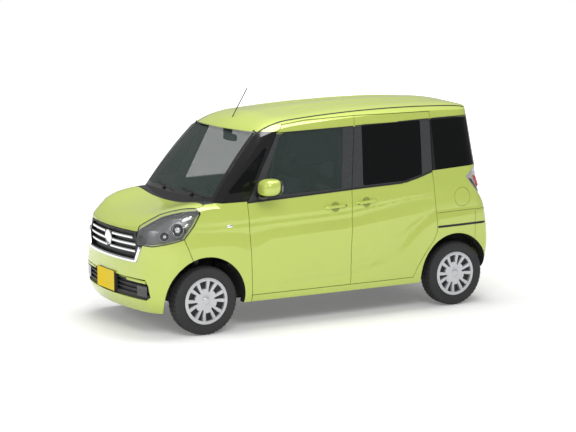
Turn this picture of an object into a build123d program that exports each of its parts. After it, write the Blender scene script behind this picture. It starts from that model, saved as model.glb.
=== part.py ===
from build123d import *
import os
from math import sqrt, cos, sin, radians

os.makedirs("parts", exist_ok=True)

# Small tall-bodied car. x runs from nose to tail, y to the car's right-hand side, z up.
# All sizes are in millimetres, and the origin is on the ground at the middle of the car.

# Driving dimensions of the whole car
LENGTH = 3395.0
WIDTH = 1475.0
NOSE_X = -LENGTH / 2
TAIL_X = LENGTH / 2
HALF = WIDTH / 2
WHEELBASE = 2430.0
FRONT_OVERHANG = 555.0
FRONT_AXLE_X = NOSE_X + FRONT_OVERHANG
REAR_AXLE_X = FRONT_AXLE_X + WHEELBASE
FRONT_TRACK = 1300.0
REAR_TRACK = 1290.0
PANEL_GAP = 5.0
SEAT_GAP = 0.3

# Tyre and wheel
TYRE_RADIUS = 278.5
TYRE_WIDTH = 155.0
BEAD_HALF = 50.0
RIM_RADIUS = 178.0
COVER_RADIUS = 192.0
COVER_SPOKES = 6
AXLE_Z = TYRE_RADIUS
ARCH_RADIUS = 350.0
ARCH_RISE = 8.0
REAR_ARCH_SHIFT = -15.0
FRONT_HOUSING_Y = 395.0
REAR_HOUSING_Y = 535.0

# Steering
KINGPIN_Y = 535.0
STRUT_RADIUS = 24.0
STEERING_WHEEL_RADIUS = 180.0
STEERING_WHEEL_AT = (-455.0, 340.0, 905.0)
COLUMN_TILT = 25.0

# Glass
GLASS = 5.0
GLASS_INSET = 3.0

# Plan sections of the body below and above the belt. Columns: height, nose x, tail x, half
# width, side bow, nose radius, nose corner y, tail radius, tail corner y.
BELT_Z = 1100.0
LOWER_PLAN = (
    (165, -1600, 1610, 660, 14, 2100, 470, 5000, 560),
    (250, -1658, 1648, 712, 12, 2100, 500, 5000, 590),
    (420, -1690, 1689, 734, 12, 2150, 500, 5000, 630),
    (640, -1676, 1695, HALF, 12, 2150, 500, 5000, 640),
    (880, -1648, 1676, 732, 14, 2100, 490, 4000, 610),
    (1000, -1570, 1658, 723, 16, 1900, 440, 3500, 590),
    (BELT_Z, -1400, 1642, 711, 18, 1600, 380, 3000, 570),
)
UPPER_PLAN = (
    (BELT_Z, -1400, 1642, 711, 18, 1600, 380, 3000, 570),
    (1350, -1140, 1600, 675, 16, 1500, 330, 3000, 530),
    (1620, -860, 1560, 630, 14, 1500, 300, 3000, 490),
    (1800, -690, 1535, 590, 14, 1500, 270, 3000, 450),
)

# Side profiles of the top surface from nose to tail. Columns: distance from the middle, nose
# setback, bonnet rise, windscreen setback, roof drop.
TOP_PROFILES = (
    (0, 0, 0, 0, 0),
    (280, 18, 10, 20, 13),
    (540, 70, 40, 70, 46),
    (640, 125, 32, 98, 105),
    (760, 230, -60, 140, 250),
)
SCREEN_BASE_X = -1110.0
SCREEN_TOP_X = -640.0
SCREEN_BASE_Z = 1030.0
SCREEN_TOP_Z = 1592.0
ROOF_TOP_Z = 1771.0
BONNET_NOSE_Z = 780.0

# Space inside the cabin and the engine bay. Columns: height, front x, rear x, half width,
# front corner cut, rear corner cut.
CABIN_SPACE = (
    (288, -880, 1590, 648, 20, 70),
    (1060, -1010, 1575, 640, 60, 110),
    (1560, -590, 1520, 590, 60, 110),
    (1620, -430, 1510, 565, 60, 110),
    (1660, -250, 1495, 535, 60, 100),
    (1690, -60, 1480, 500, 60, 80),
    (1722, 150, 1450, 330, 60, 60),
)
BAY_SPACE = (
    (100, -1520, -898, 600, 60, 10),
    (300, -1590, -898, 660, 200, 10),
    (600, -1600, -898, 670, 210, 10),
    (800, -1590, -898, 660, 220, 10),
    (870, -1545, -898, 640, 220, 10),
    (930, -1430, -898, 600, 200, 10),
    (972, -1250, -960, 560, 80, 10),
)


def plan_section(z, nose, tail, half, bow, front_r, front_y, tail_r, tail_y):
    """Plan outline at one height: nose arc, bowed sides, tail arc and four corner arcs."""
    side = half - bow
    f_slope = front_y / front_r
    f_x = nose + front_y**2 / (2 * front_r)
    f_leg = (side - front_y) * sqrt(1 + f_slope**2)
    f_end = f_x + f_slope * (side - front_y) + f_leg
    r_slope = tail_y / tail_r
    r_x = tail - tail_y**2 / (2 * tail_r)
    r_leg = (side - tail_y) * sqrt(1 + r_slope**2)
    r_end = r_x - r_slope * (side - tail_y) - r_leg
    mid = (f_end + r_end) / 2
    with BuildSketch(Plane.XY.offset(z)) as outline:
        with BuildLine():
            ThreePointArc((f_x, -front_y), (nose, 0), (f_x, front_y))
            TangentArc((f_x, front_y), (f_end, side), tangent=(f_slope, 1))
            ThreePointArc((f_end, side), (mid, half), (r_end, side))
            TangentArc((r_end, side), (r_x, tail_y), tangent=(1, 0))
            ThreePointArc((r_x, tail_y), (tail, 0), (r_x, -tail_y))
            TangentArc((r_x, -tail_y), (r_end, -side), tangent=(-r_slope, -1))
            ThreePointArc((r_end, -side), (mid, -half), (f_end, -side))
            TangentArc((f_end, -side), (f_x, -front_y), tangent=(-1, 0))
        make_face()
    return outline.sketch


def top_section(y, back, rise, setback, drop):
    """Side profile of bonnet, windscreen and roof at one distance from the middle."""
    base = SCREEN_BASE_X + setback
    top = SCREEN_TOP_X + setback * 0.55
    start = (-1735 + back, BONNET_NOSE_Z + rise * 0.2)
    roll = (-1600 + back, 898 + rise * 0.6)
    brow = (-1480 + back * 0.5, 948 + rise * 0.9)
    swell = (-1320 + back * 0.2, 985 + rise)
    cowl_line = (base - 20, 1018 + rise)
    screen = ((base + top) / 2 - 12, (SCREEN_BASE_Z + rise + SCREEN_TOP_Z - drop * 0.4) / 2 + 14)
    header = (top, SCREEN_TOP_Z - drop * 0.4)
    brow_roof = (top + 130, 1672 - drop * 0.8)
    roof_front = (-290, 1722 - drop)
    roof_mid = (420, ROOF_TOP_Z - 1 - drop)
    roof_rear = (1300, ROOF_TOP_Z - drop)
    roof_fall = (1480, 1752 - drop)
    roof_end = (1640, 1708 - drop)
    with BuildSketch(Plane.XZ.offset(-y)) as profile:
        with BuildLine():
            ThreePointArc(start, roll, brow)
            ThreePointArc(brow, swell, cowl_line)
            ThreePointArc(cowl_line, screen, header)
            ThreePointArc(header, brow_roof, roof_front)
            ThreePointArc(roof_front, roof_mid, roof_rear)
            ThreePointArc(roof_rear, roof_fall, roof_end)
            Polyline(roof_end, (1800, 1640 - drop), (1800, 100), (-1800, 100),
                     (-1800, start[1]), start)
        make_face()
    return profile.sketch


def space(rows):
    """Hollow with level sections, straight sides and cut corners."""
    with BuildPart() as hollow:
        for z, front, rear, half, front_cut, rear_cut in rows:
            right = [(front, half - front_cut), (front + front_cut, half), (rear - rear_cut, half),
                     (rear, half - rear_cut)]
            left = [(x, -y) for x, y in reversed(right)]
            with BuildSketch(Plane.XY.offset(z)):
                with BuildLine():
                    Polyline(*right, *left, close=True)
                make_face()
        loft(ruled=True)
    return hollow.part


def outline_prism(plane, points, depth, grow=0.0, corner=0.0):
    """Prism over an outline, grown all round by an amount and with rounded corners."""
    with BuildPart() as prism:
        with BuildSketch(plane) as sketch:
            with BuildLine():
                Polyline(*points, close=True)
            make_face()
            if grow:
                offset(amount=grow, kind=Kind.INTERSECTION)
            if corner:
                fillet(sketch.vertices(), corner)
        extrude(amount=depth)
    return prism.part


def side_prism(points, y_near, y_far, grow=0.0, corner=0.0):
    """Prism across the left side over a side-view outline of x and z, between two distances."""
    return outline_prism(Plane.XZ.offset(y_near), points, y_far - y_near, grow, corner)


def front_prism(points, x_from, x_to, grow=0.0, corner=0.0):
    """Prism along the car over a front-view outline of y and z."""
    return outline_prism(Plane.YZ.offset(x_from), points, x_to - x_from, grow, corner)


def plan_prism(points, z_from, z_to, grow=0.0, corner=0.0):
    """Upright prism over a plan outline of x and y."""
    return outline_prism(Plane.XY.offset(z_from), points, z_to - z_from, grow, corner)


def block(x0, x1, y0, y1, z0, z1):
    """Plain block between two corners."""
    with BuildPart() as piece:
        with Locations(((x0 + x1) / 2, (y0 + y1) / 2, (z0 + z1) / 2)):
            Box(x1 - x0, y1 - y0, z1 - z0)
    return piece.part


def round_bar(start, end, radius):
    """Straight round bar between two points."""
    axis = Vector(*end) - Vector(*start)
    with BuildPart() as bar:
        with BuildSketch(Plane(origin=start, z_dir=axis.normalized())):
            Circle(radius)
        extrude(amount=axis.length)
    return bar.part


def arch_cylinder(axle_x, shift, side, inner_y, radius=ARCH_RADIUS):
    """Round space over a wheel, from its inner wall out past the body side."""
    return round_bar((axle_x + shift, side * inner_y, AXLE_Z + ARCH_RISE),
                     (axle_x + shift, side * (HALF + 60), AXLE_Z + ARCH_RISE), radius)


def mirrored(shape):
    """The same piece on the other side of the car."""
    return mirror(shape, about=Plane.XZ)


def largest(shape, count=1):
    """The biggest solids of a result, so that slivers at a seam are left behind."""
    solids = sorted(shape.solids(), key=lambda s: s.volume, reverse=True)[:count]
    return solids[0] if count == 1 else Compound(children=solids)


def save(name, shape):
    """Label one node and write its file."""
    shape.label = name
    export_step(shape, f"parts/{name}.step")


# Body envelope
with BuildPart() as lower_body:
    for row in LOWER_PLAN:
        add(plan_section(*row))
    loft()
with BuildPart() as upper_body:
    for row in UPPER_PLAN:
        add(plan_section(*row))
    loft()
profile_rows = [(-row[0],) + row[1:] for row in reversed(TOP_PROFILES[1:])] + list(TOP_PROFILES)
with BuildPart() as top_form:
    for row in profile_rows:
        add(top_section(*row))
    loft()
with BuildPart() as envelope:
    add(lower_body.part)
    add(upper_body.part)
    add(top_form.part, mode=Mode.INTERSECT)

shell = envelope.part - space(CABIN_SPACE) - space(BAY_SPACE)
for side in (-1, 1):
    shell = shell - arch_cylinder(FRONT_AXLE_X, 0, side, FRONT_HOUSING_Y)
    shell = shell - arch_cylinder(REAR_AXLE_X, REAR_ARCH_SHIFT, side, REAR_HOUSING_Y)


def layer(region, inset, depth):
    """Skin of one region of the envelope, inset and as deep as two steps inwards."""
    outer = Pos(*inset) * region
    inner = Pos(*[a + b for a, b in zip(inset, depth)]) * region
    return outer - inner


# Panel outlines, left side, columns x and z. Gap centre lines run between the panels.
FRONT_DOOR = ((-727, 289), (-748, 700), (-762, 1049), (-735, 1085), (-440, 1585), (-372, 1646),
              (-150, 1672), (306, 1690), (262, 1380), (226, 1082), (209, 650), (205, 289))
SLIDING_DOOR = ((205, 289), (209, 650), (226, 1082), (262, 1380), (306, 1690), (1062, 1692),
                (1055, 1440), (1049, 1182), (1070, 826), (1072, 660), (1035, 590), (950, 484),
                (880, 380), (839, 289))
FENDER = ((-727, 165), (-727, 289), (-748, 700), (-762, 1049), (-762, 1056), (-1080, 1056),
          (-1080, 1100), (-1230, 1100), (-1187, 985), (-1246, 892), (-1337, 790),
          (-1268, 621), (-1268, 165))
FRAME = ((-1077, 1058), (-758, 1058), (-757, 1049), (-743, 700), (-722, 289), (-722, 165),
         (1478, 165), (1478, 833), (1640, 836), (1640, 1840), (-800, 1840), (-1077, 1500))
HEADLAMP = ((-1700, 1100), (-1230, 1100), (-1187, 985), (-1246, 892), (-1337, 790),
            (-1567, 734), (-1700, 742))
TAIL_LAMP = ((1400, 1118), (1496, 1199), (1760, 1199), (1760, 838), (1622, 838))
FRONT_WINDOW = ((-648, 1082), (-428, 1540), (-385, 1582), (-150, 1592), (183, 1597), (124, 1102))
SLIDING_WINDOW = ((339, 1110), (365, 1615), (957, 1623), (941, 1165), (750, 1122))
FRONT_QUARTER_WINDOW = ((-945, 1124), (-508, 1528), (-726, 1136))
REAR_QUARTER_WINDOW = ((1084, 1196), (1070, 1618), (1462, 1626), (1494, 1216))

# Panel outlines seen from the front, columns y and z.
SCREEN = ((-625.6, 1068), (-532.6, 1592), (532.6, 1592), (625.6, 1068))
CROWN = ((-640, 1000), (-626, 1068), (-533, 1594), (-540, 1606), (-540, 1850), (540, 1850),
         (540, 1606), (533, 1594), (626, 1068), (640, 1000))
GRILLE = ((-420, 838), (-455, 736), (-520, 738), (-450, 592), (450, 592), (520, 738),
          (455, 736), (420, 838))
TAILGATE = ((-552, 478), (-556, 1204), (-604, 1210), (-548, 1694), (-548, 1850), (548, 1850),
            (548, 1694), (604, 1210), (556, 1204), (552, 478))
TAILGATE_WINDOW = ((-545, 1222), (-498, 1626), (498, 1626), (545, 1222))
TAILGATE_FRONT_X = 1478.0

# Plan outline of the bonnet, columns x and y.
BONNET = ((-1760, -428), (-1612, -428), (-1187, -668), (-1128, -650), (-1140, -400),
          (-1152, 0), (-1140, 400), (-1128, 650), (-1187, 668), (-1612, 428), (-1760, 428))
BONNET_THICKNESS = 26.0
SILL_Z = 233.0
FLOOR_TOP = 288.0
FLOOR_THICKNESS = 26.0

gap = PANEL_GAP / 2
everything_low = block(-1800, 1800, -800, 800, 0, SILL_Z)
left_wall = shell & block(-1800, 1800, -790, -541, 100, 1850)
nose_wall = shell & block(-1800, -1000, -790, 790, 100, 1100)
tail_wall = shell & block(1400, 1800, -790, 790, 100, 1850)
side_form = envelope.part & block(-1050, 1600, -790, -400, 900, 1700)
bonnet_form = envelope.part & block(-1800, -1050, -720, 720, 780, 1100)
screen_form = envelope.part & block(-1180, -420, -700, 700, 1000, 1700)
tail_form = envelope.part & block(1300, 1800, -700, 700, 1100, 1700)

COWL_HALF = 640.0
WELL_OUTER = 644.0
COWL_FACE = ((-640, 970), (-640, 1057.7), (-627.5, 1057.7), (-625.5, 1068), (-622, 1090),
             (622, 1090), (625.5, 1068), (627.5, 1057.7), (640, 1057.7), (640, 970))

# Doors, left side first
def door_panel(outline, window):
    """A whole door: outer skin to inner trim, with its window cut out."""
    panel = left_wall & side_prism(outline, 541, 780, -gap)
    panel = panel - side_prism(window, 480, 800, 0, 14)
    return largest(panel)


def side_glass(window, shrink=SEAT_GAP):
    """Pane that fills a side window, set in from the body side."""
    return largest(side_panes & side_prism(window, 480, 800, -shrink, 14 - shrink))


side_panes = layer(side_form, (0, GLASS_INSET, 0), (0, GLASS, 0))
front_door = door_panel(FRONT_DOOR, FRONT_WINDOW)
sliding_door = door_panel(SLIDING_DOOR, SLIDING_WINDOW)
sliding_door = sliding_door + block(300, 360, -700, -666, 286.8, 300)
save("front_door_left", front_door)
save("front_door_right", mirrored(front_door))
save("sliding_doors", Compound(children=[sliding_door, mirrored(sliding_door)]))
front_glass = side_glass(FRONT_WINDOW)
sliding_glass = side_glass(SLIDING_WINDOW)
save("front_door_glass_left", front_glass)
save("front_door_glass_right", mirrored(front_glass))
save("sliding_door_glass", Compound(children=[sliding_glass, mirrored(sliding_glass)]))
quarter_glass = [side_glass(FRONT_QUARTER_WINDOW), side_glass(REAR_QUARTER_WINDOW)]
save("quarter_glass", Compound(children=quarter_glass + [mirrored(q) for q in quarter_glass]))

# Bonnet, windscreen, roof, cowl
bonnet_skin = layer(bonnet_form, (0, 0, 0), (10, 0, -BONNET_THICKNESS))
bonnet = largest(bonnet_skin & plan_prism(BONNET, 842, 1100, -gap))
save("bonnet", bonnet)
screen_skin = layer(screen_form, (0, 0, 0), (GLASS * 0.7, 0, -GLASS * 0.7))
windscreen = largest(screen_skin & front_prism(SCREEN, -1120, -500, 0, 20))
save("windscreen", windscreen)
roof = largest((shell & front_prism(CROWN, -700, TAILGATE_FRONT_X - PANEL_GAP, -0.15))
               & block(-700, 1600, -600, 600, SCREEN_TOP_Z + SEAT_GAP, 1900))
save("roof_panel", roof)
cowl = nose_wall & block(-1190, -1012, -COWL_HALF, COWL_HALF, 975, 1085)
under_bonnet = Pos(10.3, 0, -BONNET_THICKNESS - 0.8) * bonnet_form
cowl = (cowl - plan_prism(BONNET, 800, 1200, gap)) + (cowl & under_bonnet)
cowl = (cowl - front_prism(SCREEN, -1120, -400, 0.5)) & front_prism(COWL_FACE, -1200, -1000)
cowl = largest(cowl)
save("cowl", cowl)

# Body sides
frame_side = left_wall & side_prism(FRAME, 541, 780)
frame_side = frame_side - front_prism(CROWN, -1150, TAILGATE_FRONT_X, 0.15)
frame_side = frame_side - front_prism(TAILGATE, TAILGATE_FRONT_X - 2, 1800, PANEL_GAP)
frame_side = frame_side - side_prism(FRONT_DOOR, 500, 800, gap)
frame_side = frame_side - side_prism(SLIDING_DOOR, 500, 800, gap)
frame_side = frame_side - side_prism(TAIL_LAMP, 500, 800, 0.5)
frame_side = frame_side - side_prism(FRONT_QUARTER_WINDOW, 480, 800, 0, 14)
frame_side = frame_side - side_prism(REAR_QUARTER_WINDOW, 480, 800, 0, 14)
frame_side = frame_side - block(-1800, 1478, -640, 0, 100, 300) - everything_low
B_PILLAR = ((180, 288.3), (250, 288.3), (262, 700), (268, 1100), (330, 1706), (270, 1706),
            (206, 1100), (196, 700))
STRIKER_Z, STRIKER_REACH = 860.0, 641.7
# Front-view section of the inner pillar behind the doors, columns y and z
PILLAR_SECTION = ((-642.5, 288.3), (-634.5, 1060), (-584.5, 1560), (-559.5, 1620), (-534.7, 1659.7),
                  (-499.7, 1689.6), (-470, 1676), (-505, 1630), (-545, 1560), (-600, 1060),
                  (-600, 288.3))
b_pillar = side_prism(B_PILLAR, 400, 700) & front_prism(PILLAR_SECTION, 100, 400)
striker = block(196, 214, -STRIKER_REACH, -620, STRIKER_Z - 9, STRIKER_Z + 9)
pillar_foot = block(180, 250, -642.5, -640, 270, 300)
frame_side = largest(frame_side + pillar_foot + b_pillar + striker)

# Tail: tailgate with its glass, tail lamps and rear bumper
tailgate = tail_wall & front_prism(TAILGATE, TAILGATE_FRONT_X, 1800)
tailgate = tailgate - front_prism(TAILGATE_WINDOW, 1400, 1800, 0, 30)
tailgate = largest(tailgate)
save("tailgate", tailgate)
tail_pane = layer(tail_form, (-GLASS_INSET, 0, 0), (-GLASS, 0, 0))
tail_pane = largest(tail_pane & front_prism(TAILGATE_WINDOW, 1400, 1800, -SEAT_GAP, 30 - SEAT_GAP))
save("tailgate_glass", tail_pane)
tail_lamp = (tail_wall & side_prism(TAIL_LAMP, 561, 780)) - block(1300, 1800, -563, 563, 800, 1300)
tail_lamp = largest(tail_lamp)
save("tail_lamps", Compound(children=[tail_lamp, mirrored(tail_lamp)]))

REAR_BUMPER = ((1482, 300), (1482, 829), (1640, 832), (1760, 832), (1760, 300))
BUMPER_LIP = ((-556, 473), (-561, 900), (-800, 900), (-800, 250), (800, 250), (800, 900),
              (561, 900), (556, 473))
rear_bumper = tail_wall & front_prism(BUMPER_LIP, 1482, 1800)
rear_bumper = rear_bumper & side_prism(REAR_BUMPER, -800, 800)
rear_bumper = rear_bumper - block(1400, 1610, -600, 600, 200, 476)
rear_bumper = rear_bumper - front_prism(TAILGATE, 1400, 1800, PANEL_GAP)
save("rear_bumper", largest(rear_bumper))

# Fuel flap in the left side, with a bowl behind it
FLAP_X, FLAP_Z, FLAP_RADIUS = 1349.0, 948.0, 82.0
FLAP_THICKNESS = 6.0
flap_bore = round_bar((FLAP_X, -800, FLAP_Z), (FLAP_X, -600, FLAP_Z), FLAP_RADIUS - 2)
flap_form = envelope.part & block(FLAP_X - 120, FLAP_X + 120, -790, -600, FLAP_Z - 120, FLAP_Z + 120)
save("fuel_flap", largest(layer(flap_form, (0, 0, 0), (0, FLAP_THICKNESS, 0)) & flap_bore))
flap_bowl = round_bar((FLAP_X, -800, FLAP_Z), (FLAP_X, -672, FLAP_Z), FLAP_RADIUS + 1)
frame_left = frame_side - flap_bowl
neck = round_bar((FLAP_X + 10, -668, FLAP_Z - 5), (FLAP_X + 10, -702, FLAP_Z - 5), 32)
stop = round_bar((FLAP_X + 62, -668, FLAP_Z), (FLAP_X + 62, -790, FLAP_Z), 6)
stop = stop & (Pos(0, FLAP_THICKNESS + SEAT_GAP, 0) * flap_form)
save("side_frame_left", largest(frame_left + neck + stop))
save("side_frame_right", mirrored(frame_side))

# Front: fenders, headlamps, grille and bumper
bonnet_space = plan_prism(BONNET, 800, 1200, gap + 1.5)
lamp_space = side_prism(HEADLAMP, 430, 800, 0.4)
fender = left_wall & side_prism(FENDER, 541, 780, -gap)
fender = fender - bonnet_space - lamp_space - everything_low
fender = fender - block(-1192, -1010, -COWL_HALF - SEAT_GAP, 0, 970, 1100)
fender = fender - block(-1000, -700, -WELL_OUTER - SEAT_GAP, 0, 100, 300)
fender = largest(fender)
save("front_fenders", Compound(children=[fender, mirrored(fender)]))
headlamp = nose_wall & side_prism(HEADLAMP, 440, 800)
headlamp = headlamp - bonnet_space - front_prism(GRILLE, -1800, -1400, 3)
headlamp = largest(headlamp)
save("headlamps", Compound(children=[headlamp, mirrored(headlamp)]))
FRONT_BUMPER = ((-1800, 190), (-1800, 838), (-1640, 838), (-1560, 860), (-1337, 790),
                (-1268, 621), (-1268, 190))
bumper = nose_wall & side_prism(FRONT_BUMPER, -800, 800, -gap)
bumper = bumper - lamp_space - mirrored(lamp_space) - bonnet_space
bumper = bumper - front_prism(GRILLE, -1800, -1400)
LOWER_GRILLE = ((-560, 470), (-590, 420), (-600, 330), (-560, 300), (560, 300), (600, 330),
                (590, 420), (560, 470))
bumper = bumper - front_prism(LOWER_GRILLE, -1800, -1400)
save("front_bumper", largest(bumper))

# Grille: chrome surround, backing and slats; the lower opening has its own slats
NOSE_RADIUS = 2150.0
GRILLE_MOUTH = ((-395, 826), (-440, 742), (-425, 622), (425, 622), (440, 742), (395, 826))
GRILLE_FACE_X = -1666.0
LOWER_FACE_X = -1680.0
PLATE_WIDTH, PLATE_HEIGHT, PLATE_Z = 330.0, 165.0, 404.0


def nose_band(face_x, depth, z_from, z_to, half=640):
    """Curved bar across the nose, from its front face back by the depth."""
    bulge = NOSE_RADIUS - sqrt(NOSE_RADIUS**2 - half**2)
    with BuildPart() as band:
        with BuildSketch(Plane.XY.offset(z_from)):
            with BuildLine():
                ThreePointArc((face_x + bulge, -half), (face_x, 0), (face_x + bulge, half))
                Line((face_x + bulge, half), (face_x + bulge + depth, half))
                ThreePointArc((face_x + bulge + depth, half), (face_x + depth, 0),
                              (face_x + bulge + depth, -half))
                Line((face_x + bulge + depth, -half), (face_x + bulge, -half))
            make_face()
        extrude(amount=z_to - z_from)
    return band.part


nose_form = envelope.part & block(-1800, -1350, -600, 600, 580, 850)
surround = layer(nose_form, (0, 0, 0), (40, 0, 0)) & front_prism(GRILLE, -1800, -1400, -0.5)
surround = surround - front_prism(GRILLE_MOUTH, -1800, -1400)
SLATS = ((786, 26), (732, 26), (678, 26))
inner = nose_band(GRILLE_FACE_X + 28, 10, 590, 840)
for slat_z, slat_height in SLATS:
    inner = inner + nose_band(GRILLE_FACE_X + 4, 28, slat_z - slat_height / 2, slat_z + slat_height / 2)
inner = inner & front_prism(GRILLE_MOUTH, -1800, -1400, 6)
grille = surround + inner
save("grille", largest(grille))
lower = nose_band(LOWER_FACE_X + 26, 6, 290, 480)
for slat_z in (340, 375, 410, 445):
    lower = lower + nose_band(LOWER_FACE_X + 8, 22, slat_z - 5, slat_z + 5)
lower = lower & front_prism(LOWER_GRILLE, -1800, -1400, -SEAT_GAP)
plate_low, plate_high = PLATE_Z - PLATE_HEIGHT / 2, PLATE_Z + PLATE_HEIGHT / 2
lower = lower + block(NOSE_X, LOWER_FACE_X + 14, -PLATE_WIDTH / 2, PLATE_WIDTH / 2, plate_low, 469.5)
lower = lower + block(NOSE_X, NOSE_X + 6, -PLATE_WIDTH / 2, PLATE_WIDTH / 2, plate_low, plate_high)
save("lower_grille", largest(lower))


# Wheels and tyres
def tyre(axle_x, centre_y):
    """Tyre of one wheel, turned about the axle."""
    half = TYRE_WIDTH / 2
    with BuildPart() as ring:
        with BuildSketch(Plane(origin=(axle_x, centre_y, AXLE_Z), x_dir=(0, 1, 0), z_dir=(1, 0, 0))):
            with BuildLine():
                Polyline((-BEAD_HALF, RIM_RADIUS), (-half, 226), (-68, TYRE_RADIUS - 16), (-46, TYRE_RADIUS),
                         (46, TYRE_RADIUS), (68, TYRE_RADIUS - 16), (half, 226), (BEAD_HALF, RIM_RADIUS),
                         close=True)
            make_face()
        revolve(axis=Axis((axle_x, centre_y, AXLE_Z), (0, 1, 0)))
    return ring.part


def turned(points, axle_x, centre_y, side):
    """Ring turned about the axle from a list of outboard offset and radius."""
    with BuildPart() as ring:
        with BuildSketch(Plane(origin=(axle_x, centre_y, AXLE_Z), x_dir=(0, 1, 0), z_dir=(1, 0, 0))):
            with BuildLine():
                Polyline(*[(side * w, r) for w, r in points], close=True)
            make_face()
        revolve(axis=Axis((axle_x, centre_y, AXLE_Z), (0, 1, 0)))
    return ring.part


BARREL = ((-60, 177.7), (60, 177.7), (60, 170), (40, 163), (-40, 163), (-60, 170))
DISC = ((30, 0), (30, 60), (22, 90), (34, 140), (34, 165), (40, 165), (40, 138), (28, 88),
        (36, 58), (36, 0))
HUB = ((-22, 0), (-22, 34), (32, 34), (32, 0))
COVER = ((58, 0), (58, 34), (54, 38), (52, 62), (62, 120), (64, 168), (60, 176), (60, COVER_RADIUS),
         (64, COVER_RADIUS), (69, 184), (70, 172), (66, 120), (56, 60), (60, 36), (63, 32), (63, 0))


def wheel(axle_x, centre_y, side):
    """Steel wheel with its hub and a spoked cover, turned about the axle."""
    cover = turned(COVER, axle_x, centre_y, side)
    face = Plane(origin=(axle_x, centre_y + side * 40, AXLE_Z), x_dir=(1, 0, 0), z_dir=(0, side, 0))
    with BuildPart() as pockets:
        with BuildSketch(face):
            with PolarLocations(0, COVER_SPOKES, start_angle=40):
                with Locations((124, 0)):
                    SlotOverall(74, 44)
                with Locations((148, 0)):
                    Rectangle(30, 52)
            with PolarLocations(0, COVER_SPOKES, start_angle=70):
                with BuildLine():
                    Polyline((84, 0), (160, 12), (160, -12), close=True)
                make_face()
        extrude(amount=60)
    cover = cover - pockets.part
    return (turned(BARREL, axle_x, centre_y, side) + turned(DISC, axle_x, centre_y, side)
            + turned(HUB, axle_x, centre_y, side) + cover)


WHEELS = (
    ("front_left", FRONT_AXLE_X, -FRONT_TRACK / 2, -1),
    ("front_right", FRONT_AXLE_X, FRONT_TRACK / 2, 1),
    ("rear_left", REAR_AXLE_X, -REAR_TRACK / 2, -1),
    ("rear_right", REAR_AXLE_X, REAR_TRACK / 2, 1),
)
for name, axle_x, centre_y, side in WHEELS:
    save("tyre_" + name, tyre(axle_x, centre_y))
    save("wheel_" + name, largest(wheel(axle_x, centre_y, side)))


# Running gear
HUB_FACE = 22 + SEAT_GAP


def knuckle():
    """Left steering knuckle: spindle, upright, lower ball, steering arm and strut tube."""
    hub_y = -FRONT_TRACK / 2 + HUB_FACE
    piece = round_bar((FRONT_AXLE_X, hub_y, AXLE_Z), (FRONT_AXLE_X, -KINGPIN_Y, AXLE_Z), 38)
    piece = piece + block(FRONT_AXLE_X - 30, FRONT_AXLE_X + 30, -KINGPIN_Y - 28, -KINGPIN_Y + 12,
                          205, 470)
    piece = piece + round_bar((FRONT_AXLE_X, -KINGPIN_Y, 178), (FRONT_AXLE_X, -KINGPIN_Y, 210), 20)
    piece = piece + round_bar((FRONT_AXLE_X, -KINGPIN_Y, 460), (FRONT_AXLE_X, -KINGPIN_Y, 600),
                              STRUT_RADIUS)
    piece = piece + block(FRONT_AXLE_X, FRONT_AXLE_X + 120, -KINGPIN_Y - 10, -KINGPIN_Y + 10, 205, 225)
    return piece


save("knuckle_left", knuckle())
save("knuckle_right", mirrored(knuckle()))
RAIL_INNER, RAIL_OUTER = 336.0, 359.7
TOWER_OUTER = 398.0


def pair(x0, x1, y_in, y_out, z0, z1, side):
    """Block on one side of the car, between an inner and an outer distance."""
    return block(x0, x1, min(side * y_in, side * y_out), max(side * y_in, side * y_out), z0, z1)


suspension = block(FRONT_AXLE_X - 60, FRONT_AXLE_X + 120, -380, 380, 180, 215)
for side in (-1, 1):
    arm = [(FRONT_AXLE_X - 22, 514.6 * side), (FRONT_AXLE_X + 22, 514.6 * side),
           (FRONT_AXLE_X + 110, 370 * side), (FRONT_AXLE_X - 50, 370 * side)]
    strut = (FRONT_AXLE_X, side * KINGPIN_Y)
    suspension = suspension + plan_prism(arm, 183, 197)
    suspension = suspension + round_bar((*strut, 600.3), (*strut, 790), 14)
    suspension = suspension + round_bar((*strut, 785), (*strut, 800), 62)
    suspension = suspension + pair(FRONT_AXLE_X - 20, FRONT_AXLE_X + 20, RAIL_OUTER + SEAT_GAP,
                                   TOWER_OUTER, 190, 800, side)
    suspension = suspension + pair(FRONT_AXLE_X - 40, FRONT_AXLE_X + 40, 370, 560, 786, 800, side)
save("front_suspension", suspension)

# Floor, raised behind, with wheel wells, firewall, front rails, crash beam and tail panel
FLOOR_HALF = 639.7
STEP_X = 820.0
REAR_FLOOR_TOP = 400.0
FLOOR_BOTTOM = FLOOR_TOP - FLOOR_THICKNESS
WELL_Y = 525.0
BULKHEAD_HALF = 541 - SEAT_GAP
WELL_SKIN = 6.0
FRONT_WELL_Y = FRONT_HOUSING_Y - WELL_SKIN
TAIL_PANEL_X = 1580.0
FRONT_WELL_PLAN = ((-897.7, -628), (-880, -643), (-700, -643), (-700, 643), (-880, 643), (-897.7, 628))
REAR_WELL_PLAN = ((800, -644), (1490, -644), (1575, -556), (1575, 556), (1490, 644), (800, 644))


def wheel_well(axle_x, shift, inner_y, side):
    """Round wheel housing: a disc on its inner side and a rim out to the body side."""
    x, z = axle_x + shift, AXLE_Z + ARCH_RISE
    well = round_bar((x, side * inner_y, z), (x, side * WELL_OUTER, z), ARCH_RADIUS + WELL_SKIN)
    return well - round_bar((x, side * (inner_y + WELL_SKIN), z), (x, side * 700, z), ARCH_RADIUS)


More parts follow.
